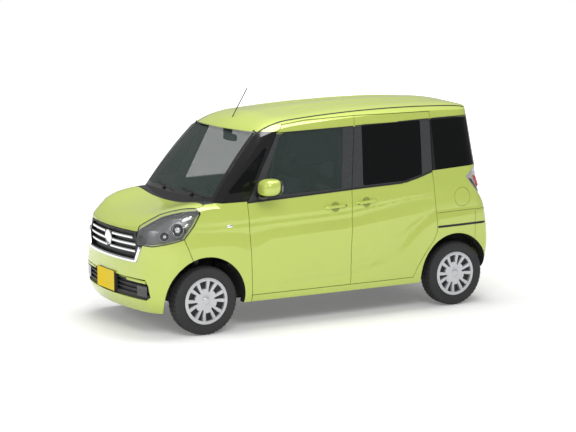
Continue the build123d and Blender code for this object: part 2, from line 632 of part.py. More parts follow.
floor_pan = block(-880.3, STEP_X, -FLOOR_HALF, FLOOR_HALF, FLOOR_BOTTOM, FLOOR_TOP)
floor_pan = floor_pan + block(STEP_X - 20, STEP_X, -WELL_Y, WELL_Y, FLOOR_BOTTOM, REAR_FLOOR_TOP)
floor_pan = floor_pan + block(STEP_X - 20, TAIL_PANEL_X, -WELL_Y, WELL_Y,
                              REAR_FLOOR_TOP - 20, REAR_FLOOR_TOP)
floor_pan = floor_pan + block(TAIL_PANEL_X - 22, TAIL_PANEL_X, -480, 480, REAR_FLOOR_TOP - 20, 520)
floor_pan = floor_pan + block(TAIL_PANEL_X - 10, TAIL_PANEL_X + 5.4, -20, 20, 490, 512)
floor_pan = floor_pan + block(-897.7, -880.3, -BULKHEAD_HALF, BULKHEAD_HALF, 230, 985)
floor_pan = floor_pan + block(-1595.7, -1565, -430, 430, 480, 560)
for side in (-1, 1):
    floor_pan = floor_pan - arch_cylinder(FRONT_AXLE_X, 0, side, FRONT_HOUSING_Y)
    front_well = wheel_well(FRONT_AXLE_X, 0, FRONT_WELL_Y, side)
    rear_well = wheel_well(REAR_AXLE_X, REAR_ARCH_SHIFT, WELL_Y, side)
    floor_pan = floor_pan + (front_well & plan_prism(FRONT_WELL_PLAN, FLOOR_BOTTOM, 700))
    floor_pan = floor_pan + (rear_well & plan_prism(REAR_WELL_PLAN, 330, 800))
    floor_pan = floor_pan + pair(-780, STEP_X, 380, 440, 215, FLOOR_TOP - 10, side)
    floor_pan = floor_pan + pair(-1575, -880.3, RAIL_INNER, RAIL_OUTER, 450, 550, side)
    floor_pan = floor_pan + pair(STEP_X - 30, STEP_X + 20, 470, 530, 240, FLOOR_BOTTOM + 2, side)
    floor_pan = floor_pan + pair(TAIL_PANEL_X - 10, 1609.7, 380, 440, 330, 400, side)
save("floor_pan", floor_pan)

rear = block(REAR_AXLE_X - 250, REAR_AXLE_X - 190, -500, 500, 255, 300)
for side in (-1, 1):
    rear = rear + pair(STEP_X + 20 + SEAT_GAP, REAR_AXLE_X + 40, 480, 520, 248, 305, side)
    rear = rear + round_bar((REAR_AXLE_X, side * 490, AXLE_Z),
                            (REAR_AXLE_X, side * (REAR_TRACK / 2 - HUB_FACE), AXLE_Z), 38)
    rear = rear + round_bar((REAR_AXLE_X - 60, side * 498, 300),
                            (REAR_AXLE_X - 60, side * 498, REAR_FLOOR_TOP - 20 - SEAT_GAP), 22)
save("rear_axle", rear)
save("engine", block(-1480, -1010, -335.7, 335.7, 235, 780))
save("fuel_tank", block(-250, 350, -330, 10, 180, FLOOR_BOTTOM - SEAT_GAP))
PIPE_Y, PIPE_Z = 60.0, 205.0
exhaust = round_bar((-900, PIPE_Y, PIPE_Z), (1450, PIPE_Y, PIPE_Z), 22)
exhaust = exhaust + round_bar((1450, -100, PIPE_Z), (1450, 330, PIPE_Z), 62)
exhaust = exhaust + block(-610, -590, PIPE_Y - 8, PIPE_Y + 8, 220, FLOOR_BOTTOM - SEAT_GAP)
exhaust = exhaust + block(590, 610, PIPE_Y - 8, PIPE_Y + 8, 220, FLOOR_BOTTOM - SEAT_GAP)
exhaust = exhaust + block(1440, 1460, 100, 116, 250, REAR_FLOOR_TOP - 20 - SEAT_GAP)
save("exhaust", exhaust)

# Inside: dashboard, steering wheel and seats
DASH = ((-880, 700), (-880, 988), (-982, 990), (-985, 1010), (-900, 1020), (-640, 1000),
        (-575, 930), (-590, 760), (-700, 690))
DASH_PLAN = ((-990, -570), (-935, -625), (-570, -625), (-570, 625), (-935, 625), (-990, 570))
dash = side_prism(DASH, -625, 625) & plan_prism(DASH_PLAN, 650, 1050)
column_dir = (-cos(radians(COLUMN_TILT)), 0, -sin(radians(COLUMN_TILT)))
wheel_at = Vector(*STEERING_WHEEL_AT)
column_end = wheel_at + Vector(*column_dir) * 260
dash = dash - round_bar(tuple(wheel_at), tuple(column_end + Vector(*column_dir) * 20), 25.5)
save("dashboard", largest(dash))
rim_plane = Plane(origin=tuple(wheel_at), z_dir=tuple(-Vector(*column_dir)))
with BuildPart(rim_plane) as steering:
    with BuildSketch(Plane(rim_plane.origin, x_dir=rim_plane.x_dir, z_dir=-rim_plane.y_dir)):
        with Locations((STEERING_WHEEL_RADIUS, 0)):
            RegularPolygon(15, 8)
    revolve(axis=Axis(rim_plane.origin, rim_plane.z_dir))
    Cylinder(42, 40)
    with PolarLocations(0, 3, start_angle=90):
        with Locations((STEERING_WHEEL_RADIUS / 2 + 10, 0)):
            Box(STEERING_WHEEL_RADIUS - 30, 40, 12)
steering_part = steering.part + round_bar(tuple(wheel_at), tuple(column_end), 25)
save("steering_wheel", steering_part)


def seat(x, floor, width, back_top, head_places):
    """Seat with a cushion, a raked back and head restraints."""
    profile = ((x - 460, floor), (x - 480, 520), (x - 440, 575), (x, 545), (x + 150, back_top),
               (x + 230, back_top), (x + 120, 520), (x + 90, floor))
    body = side_prism(profile, -width / 2, width / 2, 0, 18)
    rest = ((x + 155, back_top - 5), (x + 145, back_top + 175), (x + 175, back_top + 200),
            (x + 245, back_top + 190), (x + 240, back_top - 5))
    for place in head_places:
        body = body + side_prism(rest, -place - 120, -place + 120, 0, 12)
    return body


front = Pos(0, -335, 0) * seat(60, FLOOR_TOP + SEAT_GAP, 500, 1120, (0,))
save("front_seats", Compound(children=[front, mirrored(front)]))
save("rear_seat", seat(1080, REAR_FLOOR_TOP + SEAT_GAP, 1000, 1090, (-260, 260)))

# Mirrors on the doors, wipers, aerial
with BuildPart() as mirror_shell:
    with Locations((-640, -838, 1172)):
        Box(110, 184, 132)
    chamfer(mirror_shell.edges(), 26)
mirror_foot = block(-690, -620, -760, -680, 1085, 1125)
mirror_left = largest(mirror_shell.part + mirror_foot - envelope.part)
save("mirror_left", mirror_left)
save("mirror_right", mirrored(mirror_left))
save("aerial", largest(round_bar((-525, 0, 1655), (-375, 0, 1905), 4) - envelope.part))
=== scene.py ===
import math

import bmesh
import bpy
from mathutils import Matrix, Vector
from mathutils.bvhtree import BVHTree


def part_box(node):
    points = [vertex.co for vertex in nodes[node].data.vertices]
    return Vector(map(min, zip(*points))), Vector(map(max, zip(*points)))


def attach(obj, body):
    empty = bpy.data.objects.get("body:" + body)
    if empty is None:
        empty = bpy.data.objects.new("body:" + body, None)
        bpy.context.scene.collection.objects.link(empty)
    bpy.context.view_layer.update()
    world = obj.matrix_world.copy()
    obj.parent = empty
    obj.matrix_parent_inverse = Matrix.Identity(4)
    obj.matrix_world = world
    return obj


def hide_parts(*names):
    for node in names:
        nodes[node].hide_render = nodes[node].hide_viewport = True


# Small tall-bodied car, in metres: x from nose to tail, y to the car's right, z up.
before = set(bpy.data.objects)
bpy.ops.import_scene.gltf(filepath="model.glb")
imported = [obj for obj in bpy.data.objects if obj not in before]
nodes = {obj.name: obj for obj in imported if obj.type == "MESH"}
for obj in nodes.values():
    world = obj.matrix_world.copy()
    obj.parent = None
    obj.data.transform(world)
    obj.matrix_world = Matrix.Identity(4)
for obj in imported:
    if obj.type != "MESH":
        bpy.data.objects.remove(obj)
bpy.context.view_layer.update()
MM = 0.001
SIDES = {"left": -1, "right": 1}

# Places and sizes that the finish follows, in millimetres
FRONT_AXLE_X, REAR_AXLE_X, AXLE_Z = -1142.5, 1287.5, 278.5
FRONT_WHEEL_Y, REAR_WHEEL_Y = 650.0, 645.0
REAR_ARCH_X, ARCH_RISE, ARCH_RADIUS, ARCH_MARGIN = 1272.5, 8.0, 350.0, 1.5
PLATE_X, PLATE_Z, PLATE_WIDTH, PLATE_HEIGHT = -1697.5, 404.0, 330.0, 165.0
PLATE_PROUD, PLATE_THICKNESS = 0.7, 1.2

# Camera, at the photograph's viewing angle
CAMERA_AT = (-7.478, -13.025, 3.087)
CAMERA_LOOKS_AT = (0.023, 0.0, 0.784)
CAMERA_LENS = 110.1


# Node helpers
def new_material(name):
    """Node material with a Principled shader; returns it, its node tree and its shader."""
    material = bpy.data.materials.new(name)
    material.use_nodes = True
    tree = material.node_tree
    return material, tree, tree.nodes["Principled BSDF"]


def texture(tree, kind, scale, output="Fac", **inputs):
    """Output of a texture that follows the piece's own coordinates in metres."""
    place = tree.nodes.new("ShaderNodeTexCoord")
    node = tree.nodes.new(kind)
    tree.links.new(place.outputs["Object"], node.inputs["Vector"])
    node.inputs["Scale"].default_value = scale
    for key, value in inputs.items():
        node.inputs[key].default_value = value
    return node.outputs[output]


def ramp(tree, factor, low, high, start=0.3, end=0.7):
    """Colour ramp between two colours, driven by a texture's output."""
    node = tree.nodes.new("ShaderNodeValToRGB")
    tree.links.new(factor, node.inputs["Fac"])
    node.color_ramp.elements[0].position = start
    node.color_ramp.elements[0].color = (*low, 1)
    node.color_ramp.elements[1].position = end
    node.color_ramp.elements[1].color = (*high, 1)
    return node.outputs["Color"]


def bump(tree, height, shader, strength, distance):
    """Bump on a shader from a texture's output."""
    node = tree.nodes.new("ShaderNodeBump")
    node.inputs["Strength"].default_value = strength
    node.inputs["Distance"].default_value = distance
    tree.links.new(height, node.inputs["Height"])
    tree.links.new(node.outputs["Normal"], shader.inputs["Normal"])


def math_node(tree, operation, first, second=None):
    """One arithmetic node; each value may be a number or an output."""
    node = tree.nodes.new("ShaderNodeMath")
    node.operation = operation
    for socket, value in zip(node.inputs, (first, second)):
        if isinstance(value, (int, float)):
            socket.default_value = value
        elif value is not None:
            tree.links.new(value, socket)
    return node.outputs["Value"]


def shade(tint, amount):
    """A colour made lighter or darker by a factor."""
    return tuple(min(1.0, channel * amount) for channel in tint)


def finish_material(name, tint, roughness, metallic=0.0, coat=0.0, grain=60.0, spread=0.1,
                    bump_strength=0.0, bump_distance=0.0003, alpha=1.0, specular=0.5):
    """General finish: fine colour variation, roughness variation and bump from noise."""
    material, tree, shader = new_material(name)
    noise = texture(tree, "ShaderNodeTexNoise", grain, Detail=4.0)
    colour = ramp(tree, noise, shade(tint, 1 - spread), shade(tint, 1 + spread))
    tree.links.new(colour, shader.inputs["Base Color"])
    rough = tree.nodes.new("ShaderNodeMapRange")
    tree.links.new(noise, rough.inputs["Value"])
    rough.inputs["To Min"].default_value = max(0.0, roughness - 0.05)
    rough.inputs["To Max"].default_value = min(1.0, roughness + 0.05)
    tree.links.new(rough.outputs["Result"], shader.inputs["Roughness"])
    shader.inputs["Metallic"].default_value = metallic
    shader.inputs["Coat Weight"].default_value = coat
    shader.inputs["Coat Roughness"].default_value = 0.03
    shader.inputs["Alpha"].default_value = alpha
    shader.inputs["Specular IOR Level"].default_value = specular
    if bump_strength:
        bump(tree, noise, shader, bump_strength, bump_distance)
    return material


# Facing limits, and the straight lines that bound the dark window garnish: height at x = 0, slope
INWARD_FACING, DOWN_FACING, LINING_LOW_Z = -0.25, -0.3, 0.75
DOOR_BELT, DOOR_BELT_RISE, DOOR_HEAD = (1.0720, 0.0445), (0.8816, 0.288), (1.5909, 0.0336)
POST_REAR_X, POST_LOW_Z, POST_HIGH_Z = -0.35, 1.058, 1.597
QUARTER_FRONT_X, QUARTER_BELT, QUARTER_HIGH_Z = 1.03, (1.1375, 0.05), 1.632


class Masks:
    """Masks over a piece from the place and the facing of its surface, in metres."""

    def __init__(self, tree):
        place = tree.nodes.new("ShaderNodeTexCoord")
        at = tree.nodes.new("ShaderNodeSeparateXYZ")
        facing = tree.nodes.new("ShaderNodeSeparateXYZ")
        tree.links.new(place.outputs["Object"], at.inputs["Vector"])
        tree.links.new(place.outputs["Normal"], facing.inputs["Vector"])
        self.tree = tree
        self.x, self.y, self.z = at.outputs["X"], at.outputs["Y"], at.outputs["Z"]
        self.facing = facing.outputs

    def run(self, operation, first, second=None):
        return math_node(self.tree, operation, first, second)

    def line(self, start, slope):
        """Height of a straight line along the car."""
        return self.run("ADD", self.run("MULTIPLY", self.x, slope), start)

    def both(self, first, second):
        return self.run("MULTIPLY", first, second)

    def inside(self):
        """1 on faces that look towards the middle of the car or down from the roof."""
        side = self.run("SIGN", self.y)
        inward = self.run("LESS_THAN", self.both(side, self.facing["Y"]), INWARD_FACING)
        down = self.run("LESS_THAN", self.facing["Z"], DOWN_FACING)
        high = self.run("GREATER_THAN", self.z, LINING_LOW_Z)
        return self.run("MAXIMUM", inward, self.both(down, high))

    def arches(self):
        """1 on the walls inside the wheel arches."""
        height = self.run("SUBTRACT", self.z, (AXLE_Z + ARCH_RISE) * MM)
        found = None
        for arch_x in (FRONT_AXLE_X, REAR_ARCH_X):
            along = self.run("SUBTRACT", self.x, arch_x * MM)
            square = self.run("ADD", self.both(along, along), self.both(height, height))
            near = self.run("LESS_THAN", square, ((ARCH_RADIUS + ARCH_MARGIN) * MM) ** 2)
            found = near if found is None else self.run("MAXIMUM", found, near)
        return found

    def door_garnish(self):
        """1 on a door's window posts, between its belt and its head."""
        belt = self.run("MAXIMUM", self.line(*DOOR_BELT), self.line(*DOOR_BELT_RISE))
        above = self.run("GREATER_THAN", self.z, belt)
        below = self.run("LESS_THAN", self.z, self.line(*DOOR_HEAD))
        return self.both(above, below)

    def frame_garnish(self):
        """1 on the windscreen pillar and on the surround of the rear side window."""
        post = self.both(self.run("LESS_THAN", self.x, POST_REAR_X),
                         self.run("GREATER_THAN", self.z, POST_LOW_Z))
        post = self.both(post, self.run("LESS_THAN", self.z, POST_HIGH_Z))
        quarter = self.both(self.run("GREATER_THAN", self.x, QUARTER_FRONT_X),
                            self.run("GREATER_THAN", self.z, self.line(*QUARTER_BELT)))
        quarter = self.both(quarter, self.run("LESS_THAN", self.z, QUARTER_HIGH_Z))
        return self.run("MAXIMUM", post, quarter)


LIME = (0.53, 0.635, 0.115)
LINING = (0.10, 0.105, 0.105)
LINER_LOW, LINER_HIGH = (0.008, 0.008, 0.008), (0.014, 0.014, 0.014)
GARNISH_GREY = (0.045, 0.047, 0.050)
GARNISH_BLACK = (0.006, 0.006, 0.007)


def mix_shaders(tree, factor, first, second):
    """Output of the first shader, with the second shader node where the factor is 1."""
    choice = tree.nodes.new("ShaderNodeMixShader")
    tree.links.new(factor, choice.inputs["Fac"])
    tree.links.new(first, choice.inputs[1])
    tree.links.new(second.outputs["BSDF"], choice.inputs[2])
    return choice.outputs["Shader"]


def layer(tree, pattern, low, high, roughness):
    """Shader node whose colour follows a texture."""
    shader = tree.nodes.new("ShaderNodeBsdfPrincipled")
    colour = ramp(tree, pattern, low, high)
    tree.links.new(colour, shader.inputs["Base Color"])
    shader.inputs["Roughness"].default_value = roughness
    return shader


def paint_material(name, tint, garnish=None, garnish_tint=GARNISH_BLACK, lined=True):
    """Body paint under clear coat, with dark window garnish and grained lining inside."""
    material, tree, shader = new_material(name)
    masks = Masks(tree)
    flakes = texture(tree, "ShaderNodeTexVoronoi", 900.0, "Distance")
    spots = ramp(tree, flakes, shade(tint, 1.10), shade(tint, 0.94))
    wave = texture(tree, "ShaderNodeTexNoise", 3.0, Detail=2.0)
    depth = ramp(tree, wave, shade(tint, 0.98), shade(tint, 1.02))
    mixed = tree.nodes.new("ShaderNodeMixRGB")
    mixed.inputs["Fac"].default_value = 0.5
    tree.links.new(spots, mixed.inputs["Color1"])
    tree.links.new(depth, mixed.inputs["Color2"])
    tree.links.new(mixed.outputs["Color"], shader.inputs["Base Color"])
    shader.inputs["Metallic"].default_value = 0.2
    shader.inputs["Roughness"].default_value = 0.42
    shader.inputs["Coat Weight"].default_value = 0.8
    shader.inputs["Coat Roughness"].default_value = 0.06
    surface = shader.outputs["BSDF"]
    if garnish:
        haze = texture(tree, "ShaderNodeTexNoise", 40.0, Detail=2.0)
        glossy = layer(tree, haze, shade(garnish_tint, 0.9), shade(garnish_tint, 1.1), 0.22)
        surface = mix_shaders(tree, getattr(masks, garnish)(), surface, glossy)
    if lined:
        grain = texture(tree, "ShaderNodeTexNoise", 350.0, Detail=3.0)
        trim = layer(tree, grain, shade(LINING, 0.85), shade(LINING, 1.15), 0.7)
        bump(tree, grain, trim, 0.3, 0.0004)
        surface = mix_shaders(tree, masks.inside(), surface, trim)
        liner = layer(tree, grain, LINER_LOW, LINER_HIGH, 0.85)
        surface = mix_shaders(tree, masks.arches(), surface, liner)
    tree.links.new(surface, tree.nodes["Material Output"].inputs["Surface"])
    return material


PAINT = paint_material("lime_paint", LIME)
DOOR_PAINT = paint_material("door_paint", LIME, "door_garnish", GARNISH_GREY)
FRAME_PAINT = paint_material("frame_paint", LIME, "frame_garnish", GARNISH_BLACK)
TRIM_PAINT = paint_material("trim_paint", LIME, lined=False)
# Lime darkened to 0.55: painted shade for the recess behind each door handle
SCOOP_SHADE_PAINT = paint_material("scoop_painted_shade", shade(LIME, 0.55), lined=False)
GLOSS_BLACK = finish_material("gloss_black", (0.008, 0.008, 0.009), 0.12, coat=0.5)
BLACK_PLASTIC = finish_material("black_plastic", (0.016, 0.016, 0.017), 0.5, grain=400.0,
                                bump_strength=0.25)
RUBBER_SEAL = finish_material("rubber_seal", (0.008, 0.008, 0.008), 0.6, grain=200.0)
CHROME = finish_material("chrome", (0.82, 0.83, 0.84), 0.14, metallic=1.0, spread=0.03)
SATIN_SILVER = finish_material("satin_silver", (0.62, 0.63, 0.65), 0.3, metallic=0.6, spread=0.04)
UNDERBODY = finish_material("underbody", (0.012, 0.012, 0.012), 0.8, grain=40.0, bump_strength=0.3,
                            bump_distance=0.001)
CAST_METAL = finish_material("cast_metal", (0.14, 0.14, 0.14), 0.6, metallic=0.6, grain=120.0,
                             bump_strength=0.4)
PLAIN_STEEL = finish_material("plain_steel", (0.4, 0.39, 0.38), 0.4, metallic=0.9, grain=30.0)
INTERIOR = finish_material("interior_plastic", (0.045, 0.046, 0.048), 0.6, grain=500.0,
                           bump_strength=0.3)
SEAT_CLOTH = finish_material("seat_cloth", (0.085, 0.087, 0.09), 0.9, grain=700.0, spread=0.3,
                             bump_strength=0.5, bump_distance=0.0006)
CLEAR_GLASS = finish_material("clear_glass", (0.05, 0.075, 0.068), 0.05, alpha=0.38, spread=0.02)
DARK_GLASS = finish_material("dark_glass", (0.003, 0.0035, 0.004), 0.05, alpha=0.93, spread=0.02,
                             specular=0.22)
LAMP_LENS = finish_material("lamp_lens", (0.60, 0.62, 0.63), 0.05, alpha=0.07, spread=0.02)
RED_LENS = finish_material("red_lens", (0.55, 0.012, 0.01), 0.06, coat=0.5, spread=0.05)
LAMP_SILVER = finish_material("lamp_housing", (0.20, 0.205, 0.21), 0.3, metallic=0.5)
LAMP_DARK = finish_material("lamp_bezel", (0.03, 0.031, 0.033), 0.25, metallic=0.3)
PLATE_YELLOW = finish_material("plate_yellow", (0.86, 0.62, 0.004), 0.5, spread=0.03, specular=0.2)
RUBBER = finish_material("tyre_rubber", (0.026, 0.026, 0.027), 0.75, grain=300.0,
                         bump_strength=0.3)
WHEEL_SILVER = finish_material("wheel_silver", (0.56, 0.57, 0.59), 0.33, metallic=0.55, grain=250.0,
                               spread=0.04, bump_strength=0.05)
WHEEL_DARK = finish_material("wheel_steel", (0.012, 0.012, 0.013), 0.45, metallic=0.3)

# Finish of every CAD node. Columns: finish, names of the nodes.
FINISH_ROWS = (
    (FRAME_PAINT, "side_frame_left side_frame_right"),
    (DOOR_PAINT, "front_door_left front_door_right sliding_doors"),
    (PAINT, "roof_panel front_fenders bonnet front_bumper rear_bumper tailgate fuel_flap"),
    (PAINT, "mirror_left mirror_right"),
    (UNDERBODY, "floor_pan front_suspension rear_axle"),
    (CAST_METAL, "knuckle_left knuckle_right engine"),
    (BLACK_PLASTIC, "fuel_tank cowl aerial lower_grille grille"),
    (PLAIN_STEEL, "exhaust"),
    (INTERIOR, "dashboard steering_wheel"),
    (SEAT_CLOTH, "front_seats rear_seat"),
    (CLEAR_GLASS, "windscreen front_door_glass_left front_door_glass_right"),
    (DARK_GLASS, "sliding_door_glass tailgate_glass quarter_glass"),
    (LAMP_LENS, "headlamps tail_lamps"),
    (RUBBER, "tyre_front_left tyre_front_right tyre_rear_left tyre_rear_right"),
    (WHEEL_DARK, "wheel_front_left wheel_front_right wheel_rear_left wheel_rear_right"),
)
NODE_FINISHES = {name: finish for finish, names in FINISH_ROWS for name in names.split()}


def dress(obj, material):
    """Give an object one material."""
    obj.data.materials.clear()
    obj.data.materials.append(material)


for node_name, node_finish in NODE_FINISHES.items():
    dress(nodes[node_name], node_finish)


# Mesh helpers
def mesh_object(name, shape, material, body, smooth=35.0):
    """Finish a bmesh as a named object with a material, riding on a body."""
    limit = math.radians(smooth)
    for edge in shape.edges:
        folded = len(edge.link_faces) == 2 and edge.calc_face_angle(0.0) > limit
        edge.smooth = edge.smooth and not folded
    for face in shape.faces:
        face.smooth = True
    mesh = bpy.data.meshes.new(name)
    shape.to_mesh(mesh)
    shape.free()
    obj = bpy.data.objects.new(name, mesh)
    bpy.context.scene.collection.objects.link(obj)
    dress(obj, material)
    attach(obj, body)
    return obj


def mesh_of(*names):
    """Welded copy of the meshes of some CAD nodes or pieces."""
    copy = bmesh.new()
    for name in names:
        source = nodes.get(name) or bpy.data.objects[name]
        copy.from_mesh(source.data)
    bmesh.ops.remove_doubles(copy, verts=copy.verts, dist=0.00002)
    return copy


def skin_of(*names):
    """Search tree over the surface of some nodes or pieces."""
    copy = mesh_of(*names)
    tree = BVHTree.FromBMesh(copy)
    copy.free()
    return tree


def join_rings(shape, rings):
    """Closed strips of faces from each ring of vertices to the next; returns the faces."""
    faces = []
    for here, there in zip(rings, rings[1:]):
        for index in range(len(here)):
            follow = (index + 1) % len(here)
            faces.append(shape.faces.new((here[index], here[follow], there[follow], there[index])))
    return faces


RAY_START = 2.5


def drape(points, direction, skin, step=0.02):
    """Places, in metres, and normals where a guide line, in millimetres, falls on a surface."""
    direction = Vector(direction).normalized()
    points = [Vector([v * MM for v in p]) for p in points]
    found = []
    for start, end in zip(points, points[1:]):
        count = max(1, round((end - start).length / step))
        shares = range(count + 1 if end == points[-1] else count)
        for share in shares:
            guide = start.lerp(end, share / count)
            place, normal, _, _ = skin.ray_cast(guide - direction * RAY_START, direction)
            if place is not None:
                found.append((place, -normal if normal.dot(direction) > 0 else normal))
    return found


# Section of a moulding, and how its ends run out: rate along it and least share of its size
CROWNED = ((-0.5, -0.2), (-0.5, 0.5), (-0.36, 0.92), (0.0, 1.0), (0.36, 0.92), (0.5, 0.5), (0.5, -0.2))
TAPER_RATE, TAPER_LEAST = 8, 0.15


def ribbon(name, points, direction, skin, width, proud, material, body, step=0.02, taper=False):
    """Moulding with a crowned section that follows a guide line over a surface."""
    path = drape(points, direction, skin, step)
    if len(path) < 2:
        raise ValueError(f"{name} does not meet its surface")
    shape = bmesh.new()
    rings = []
    for index, (place, normal) in enumerate(path):
        before = path[max(index - 1, 0)][0]
        after = path[min(index + 1, len(path) - 1)][0]
        across = (after - before).cross(normal).normalized()
        share = index / (len(path) - 1)
        run_out = max(TAPER_LEAST, min(1.0, TAPER_RATE * share, TAPER_RATE * (1 - share)))
        size = run_out if taper else 1.0
        rings.append([shape.verts.new(place + across * u * width * MM * size
                                      + normal * v * proud * MM * size) for u, v in CROWNED])
    join_rings(shape, rings)
    shape.faces.new(rings[0])
    shape.faces.new(rings[-1])
    bmesh.ops.recalc_face_normals(shape, faces=shape.faces)
    return mesh_object(name, shape, material, body, 50.0)


def side_line(points, side):
    """Guide points beside the car from a list of x and z."""
    return [(x, 0, z) for x, z in points], (0, -side, 0)


def side_ribbon(name, points, side, skin, width, proud, material, body, **options):
    """Moulding along the body side."""
    guide, direction = side_line(points, side)
    return ribbon(name, guide, direction, skin, width, proud, material, body, **options)


def blob(name, centre, radii, power, material, body, turn=None, count=20):
    """Rounded box or ellipsoid: the power runs from 1, round, towards 0, square."""
    shape = bmesh.new()
    bmesh.ops.create_uvsphere(shape, u_segments=2 * count, v_segments=count, radius=1.0)
    for vertex in shape.verts:
        for axis in range(3):
            value = vertex.co[axis]
            vertex.co[axis] = math.copysign(abs(value) ** power, value)
        vertex.co = Vector([v * r * MM for v, r in zip(vertex.co, radii)])
    if turn is not None:
        bmesh.ops.transform(shape, matrix=turn.to_4x4(), verts=shape.verts)
    bmesh.ops.translate(shape, vec=Vector(centre) * MM, verts=shape.verts)
    return mesh_object(name, shape, material, body, 60.0)


def turned_piece(name, profile, centre, axis, material, body, segments=48):
    """Piece turned about an axis from a profile of offset along it and radius."""
    shape = bmesh.new()
    turn = Vector((0, 0, 1)).rotation_difference(Vector(axis)).to_matrix()
    rings = []
    for offset, radius in profile:
        ring = []
        for index in range(segments):
            angle = 2 * math.pi * index / segments
            point = Vector((radius * math.cos(angle), radius * math.sin(angle), offset))
            ring.append(shape.verts.new((turn @ point + Vector(centre)) * MM))
        rings.append(ring)
    join_rings(shape, rings)
    bmesh.ops.remove_doubles(shape, verts=shape.verts, dist=0.00005)
    bmesh.ops.recalc_face_normals(shape, faces=shape.faces)
    return mesh_object(name, shape, material, body, 40.0)


# Relief of the body sides. Each line runs along the car; columns: x, height, how far the
# surface stands out there. The surface is straight between one line and the next.
RELIEF_LINES = (
    ((-1700, 1010, 0), (1700, 1060, 0)),
    ((-1330, 925, 0), (-1100, 905, 1), (-740, 912, 3), (205, 938, 3), (760, 985, 2), (1180, 1010, 0),
     (1700, 1010, 0)),
    ((-1330, 850, 0), (-1100, 846, -1), (-740, 852, -3), (205, 888, -3), (760, 965, -1),
     (1180, 995, 0), (1700, 995, 0)),
    ((-1700, 600, 0), (-1560, 640, 1), (-1400, 690, 5), (-1200, 722, 8), (-900, 712, 8),
     (-745, 655, 8), (-640, 705, 8), (-560, 740, 8), (205, 771, 8), (760, 826, 5), (1040, 858, 1),
     (1500, 870, 0), (1700, 870, 0)),
    ((-1700, 500, 0), (-1400, 560, 5), (-1200, 600, 7), (-860, 600, 7), (-745, 400, 5),
     (-640, 352, 4), (-560, 392, 0), (-440, 413, -2), (204, 473, -3), (450, 511, -3),
     (600, 582, -3), (816, 733, -3), (1019, 846, -1), (1077, 850, 0), (1590, 856, 0), (1700, 856, 0)),
    ((-1700, 300, 0), (-1400, 350, 3), (-1200, 350, 5), (-745, 349, 5), (-640, 346, 4),
     (205, 372, 6), (617, 432, 7), (760, 560, 8), (936, 705, 9), (1072, 768, 9), (1300, 784, 8),
     (1590, 798, 1), (1700, 798, 0)),
    ((-1700, 180, 0), (-1200, 200, 2), (-700, 240, 4), (1000, 240, 5), (1300, 300, 5),
     (1590, 300, 0), (1700, 300, 0)),
)
CREASES = (3, 4, 5)
RELIEF_SCALE = 1.5
COLUMN_STEP = 0.03


def line_at(line, x):
    """Height and stand-out of one relief line at a place along the car, in metres."""
    for (x0, z0, d0), (x1, z1, d1) in zip(line, line[1:]):
        if x <= x1 * MM or (x1, z1, d1) == line[-1]:
            share = min(1.0, max(0.0, (x - x0 * MM) / ((x1 - x0) * MM)))
            return (z0 + (z1 - z0) * share) * MM, (d0 + (d1 - d0) * share) * MM
    raise ValueError("relief line has one point")


def stand_out(x, z):
    """How far the relief stands out from the CAD surface at a place on the body side."""
    rows = [line_at(line, x) for line in RELIEF_LINES]
    if z >= rows[0][0]:
        return 0.0
    for (top, above), (low, below) in zip(rows, rows[1:]):
        if z >= low:
            share = (top - z) / max(top - low, 1e-6)
            return above + (below - above) * share
    return rows[-1][1]


# Least facing and distance from the middle of an outer face; how near a crease an edge lies
OUTER_FACING, OUTER_Y, ON_CREASE, SHORT_EDGE = 0.35, 0.6, 0.0005, 0.002


def outward_faces(faces):
    """Faces of the outer skin of a body side."""
    return [f for f in faces if f.normal.y * f.calc_center_median().y > 0
            and abs(f.normal.y) > OUTER_FACING and abs(f.calc_center_median().y) > OUTER_Y]


def split(shape, faces, place, normal):
    """Split some faces along a plane; returns all the faces that come of them."""
    edges = {e for f in faces for e in f.edges}
    verts = {v for f in faces for v in f.verts}
    made = bmesh.ops.bisect_plane(shape, geom=[*faces, *edges, *verts], plane_co=place,
                                  plane_no=normal, dist=1e-6)
    return [g for g in made["geom"] if isinstance(g, bmesh.types.BMFace)]


def relief_copy(node_name, material, body):
    """Copy of a painted panel whose outer skin follows the relief lines; it replaces the node."""
    shape = mesh_of(node_name)
    shape.normal_update()
    low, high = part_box(node_name)
    skin = outward_faces(shape.faces)
    first = math.floor(low[0] / COLUMN_STEP)
    last = math.ceil(high[0] / COLUMN_STEP)
    for column in range(first + 1, last):
        skin = split(shape, skin, Vector((column * COLUMN_STEP, 0, 0)), Vector((1, 0, 0)))
    columns = {}
    for face in skin:
        columns.setdefault(math.floor(face.calc_center_median().x / COLUMN_STEP), []).append(face)
    for column, faces in columns.items():
        x0, x1 = column * COLUMN_STEP, (column + 1) * COLUMN_STEP
        for line in RELIEF_LINES:
            z0, z1 = line_at(line, x0)[0], line_at(line, x1)[0]
            across = Vector((z1 - z0, 0, x0 - x1)).normalized()
            faces = split(shape, faces, Vector((x0, 0, z0)), across)
    shape.normal_update()
    skin = outward_faces(shape.faces)
    moved = {v for f in skin for v in f.verts}
    for edge in {e for f in skin for e in f.edges}:
        ends = [v.co for v in edge.verts]
        for index in CREASES:
            gaps = [abs(line_at(RELIEF_LINES[index], c.x)[0] - c.z) for c in ends]
            if max(gaps) < ON_CREASE and abs(ends[0].x - ends[1].x) > SHORT_EDGE:
                edge.smooth = False
    for vertex in moved:
        shift = stand_out(vertex.co.x, vertex.co.z) * RELIEF_SCALE
        vertex.co.y += math.copysign(shift, vertex.co.y)
    shape.normal_update()
    piece = mesh_object(node_name + "_relief", shape, material, body, 32.0)
    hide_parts(node_name)


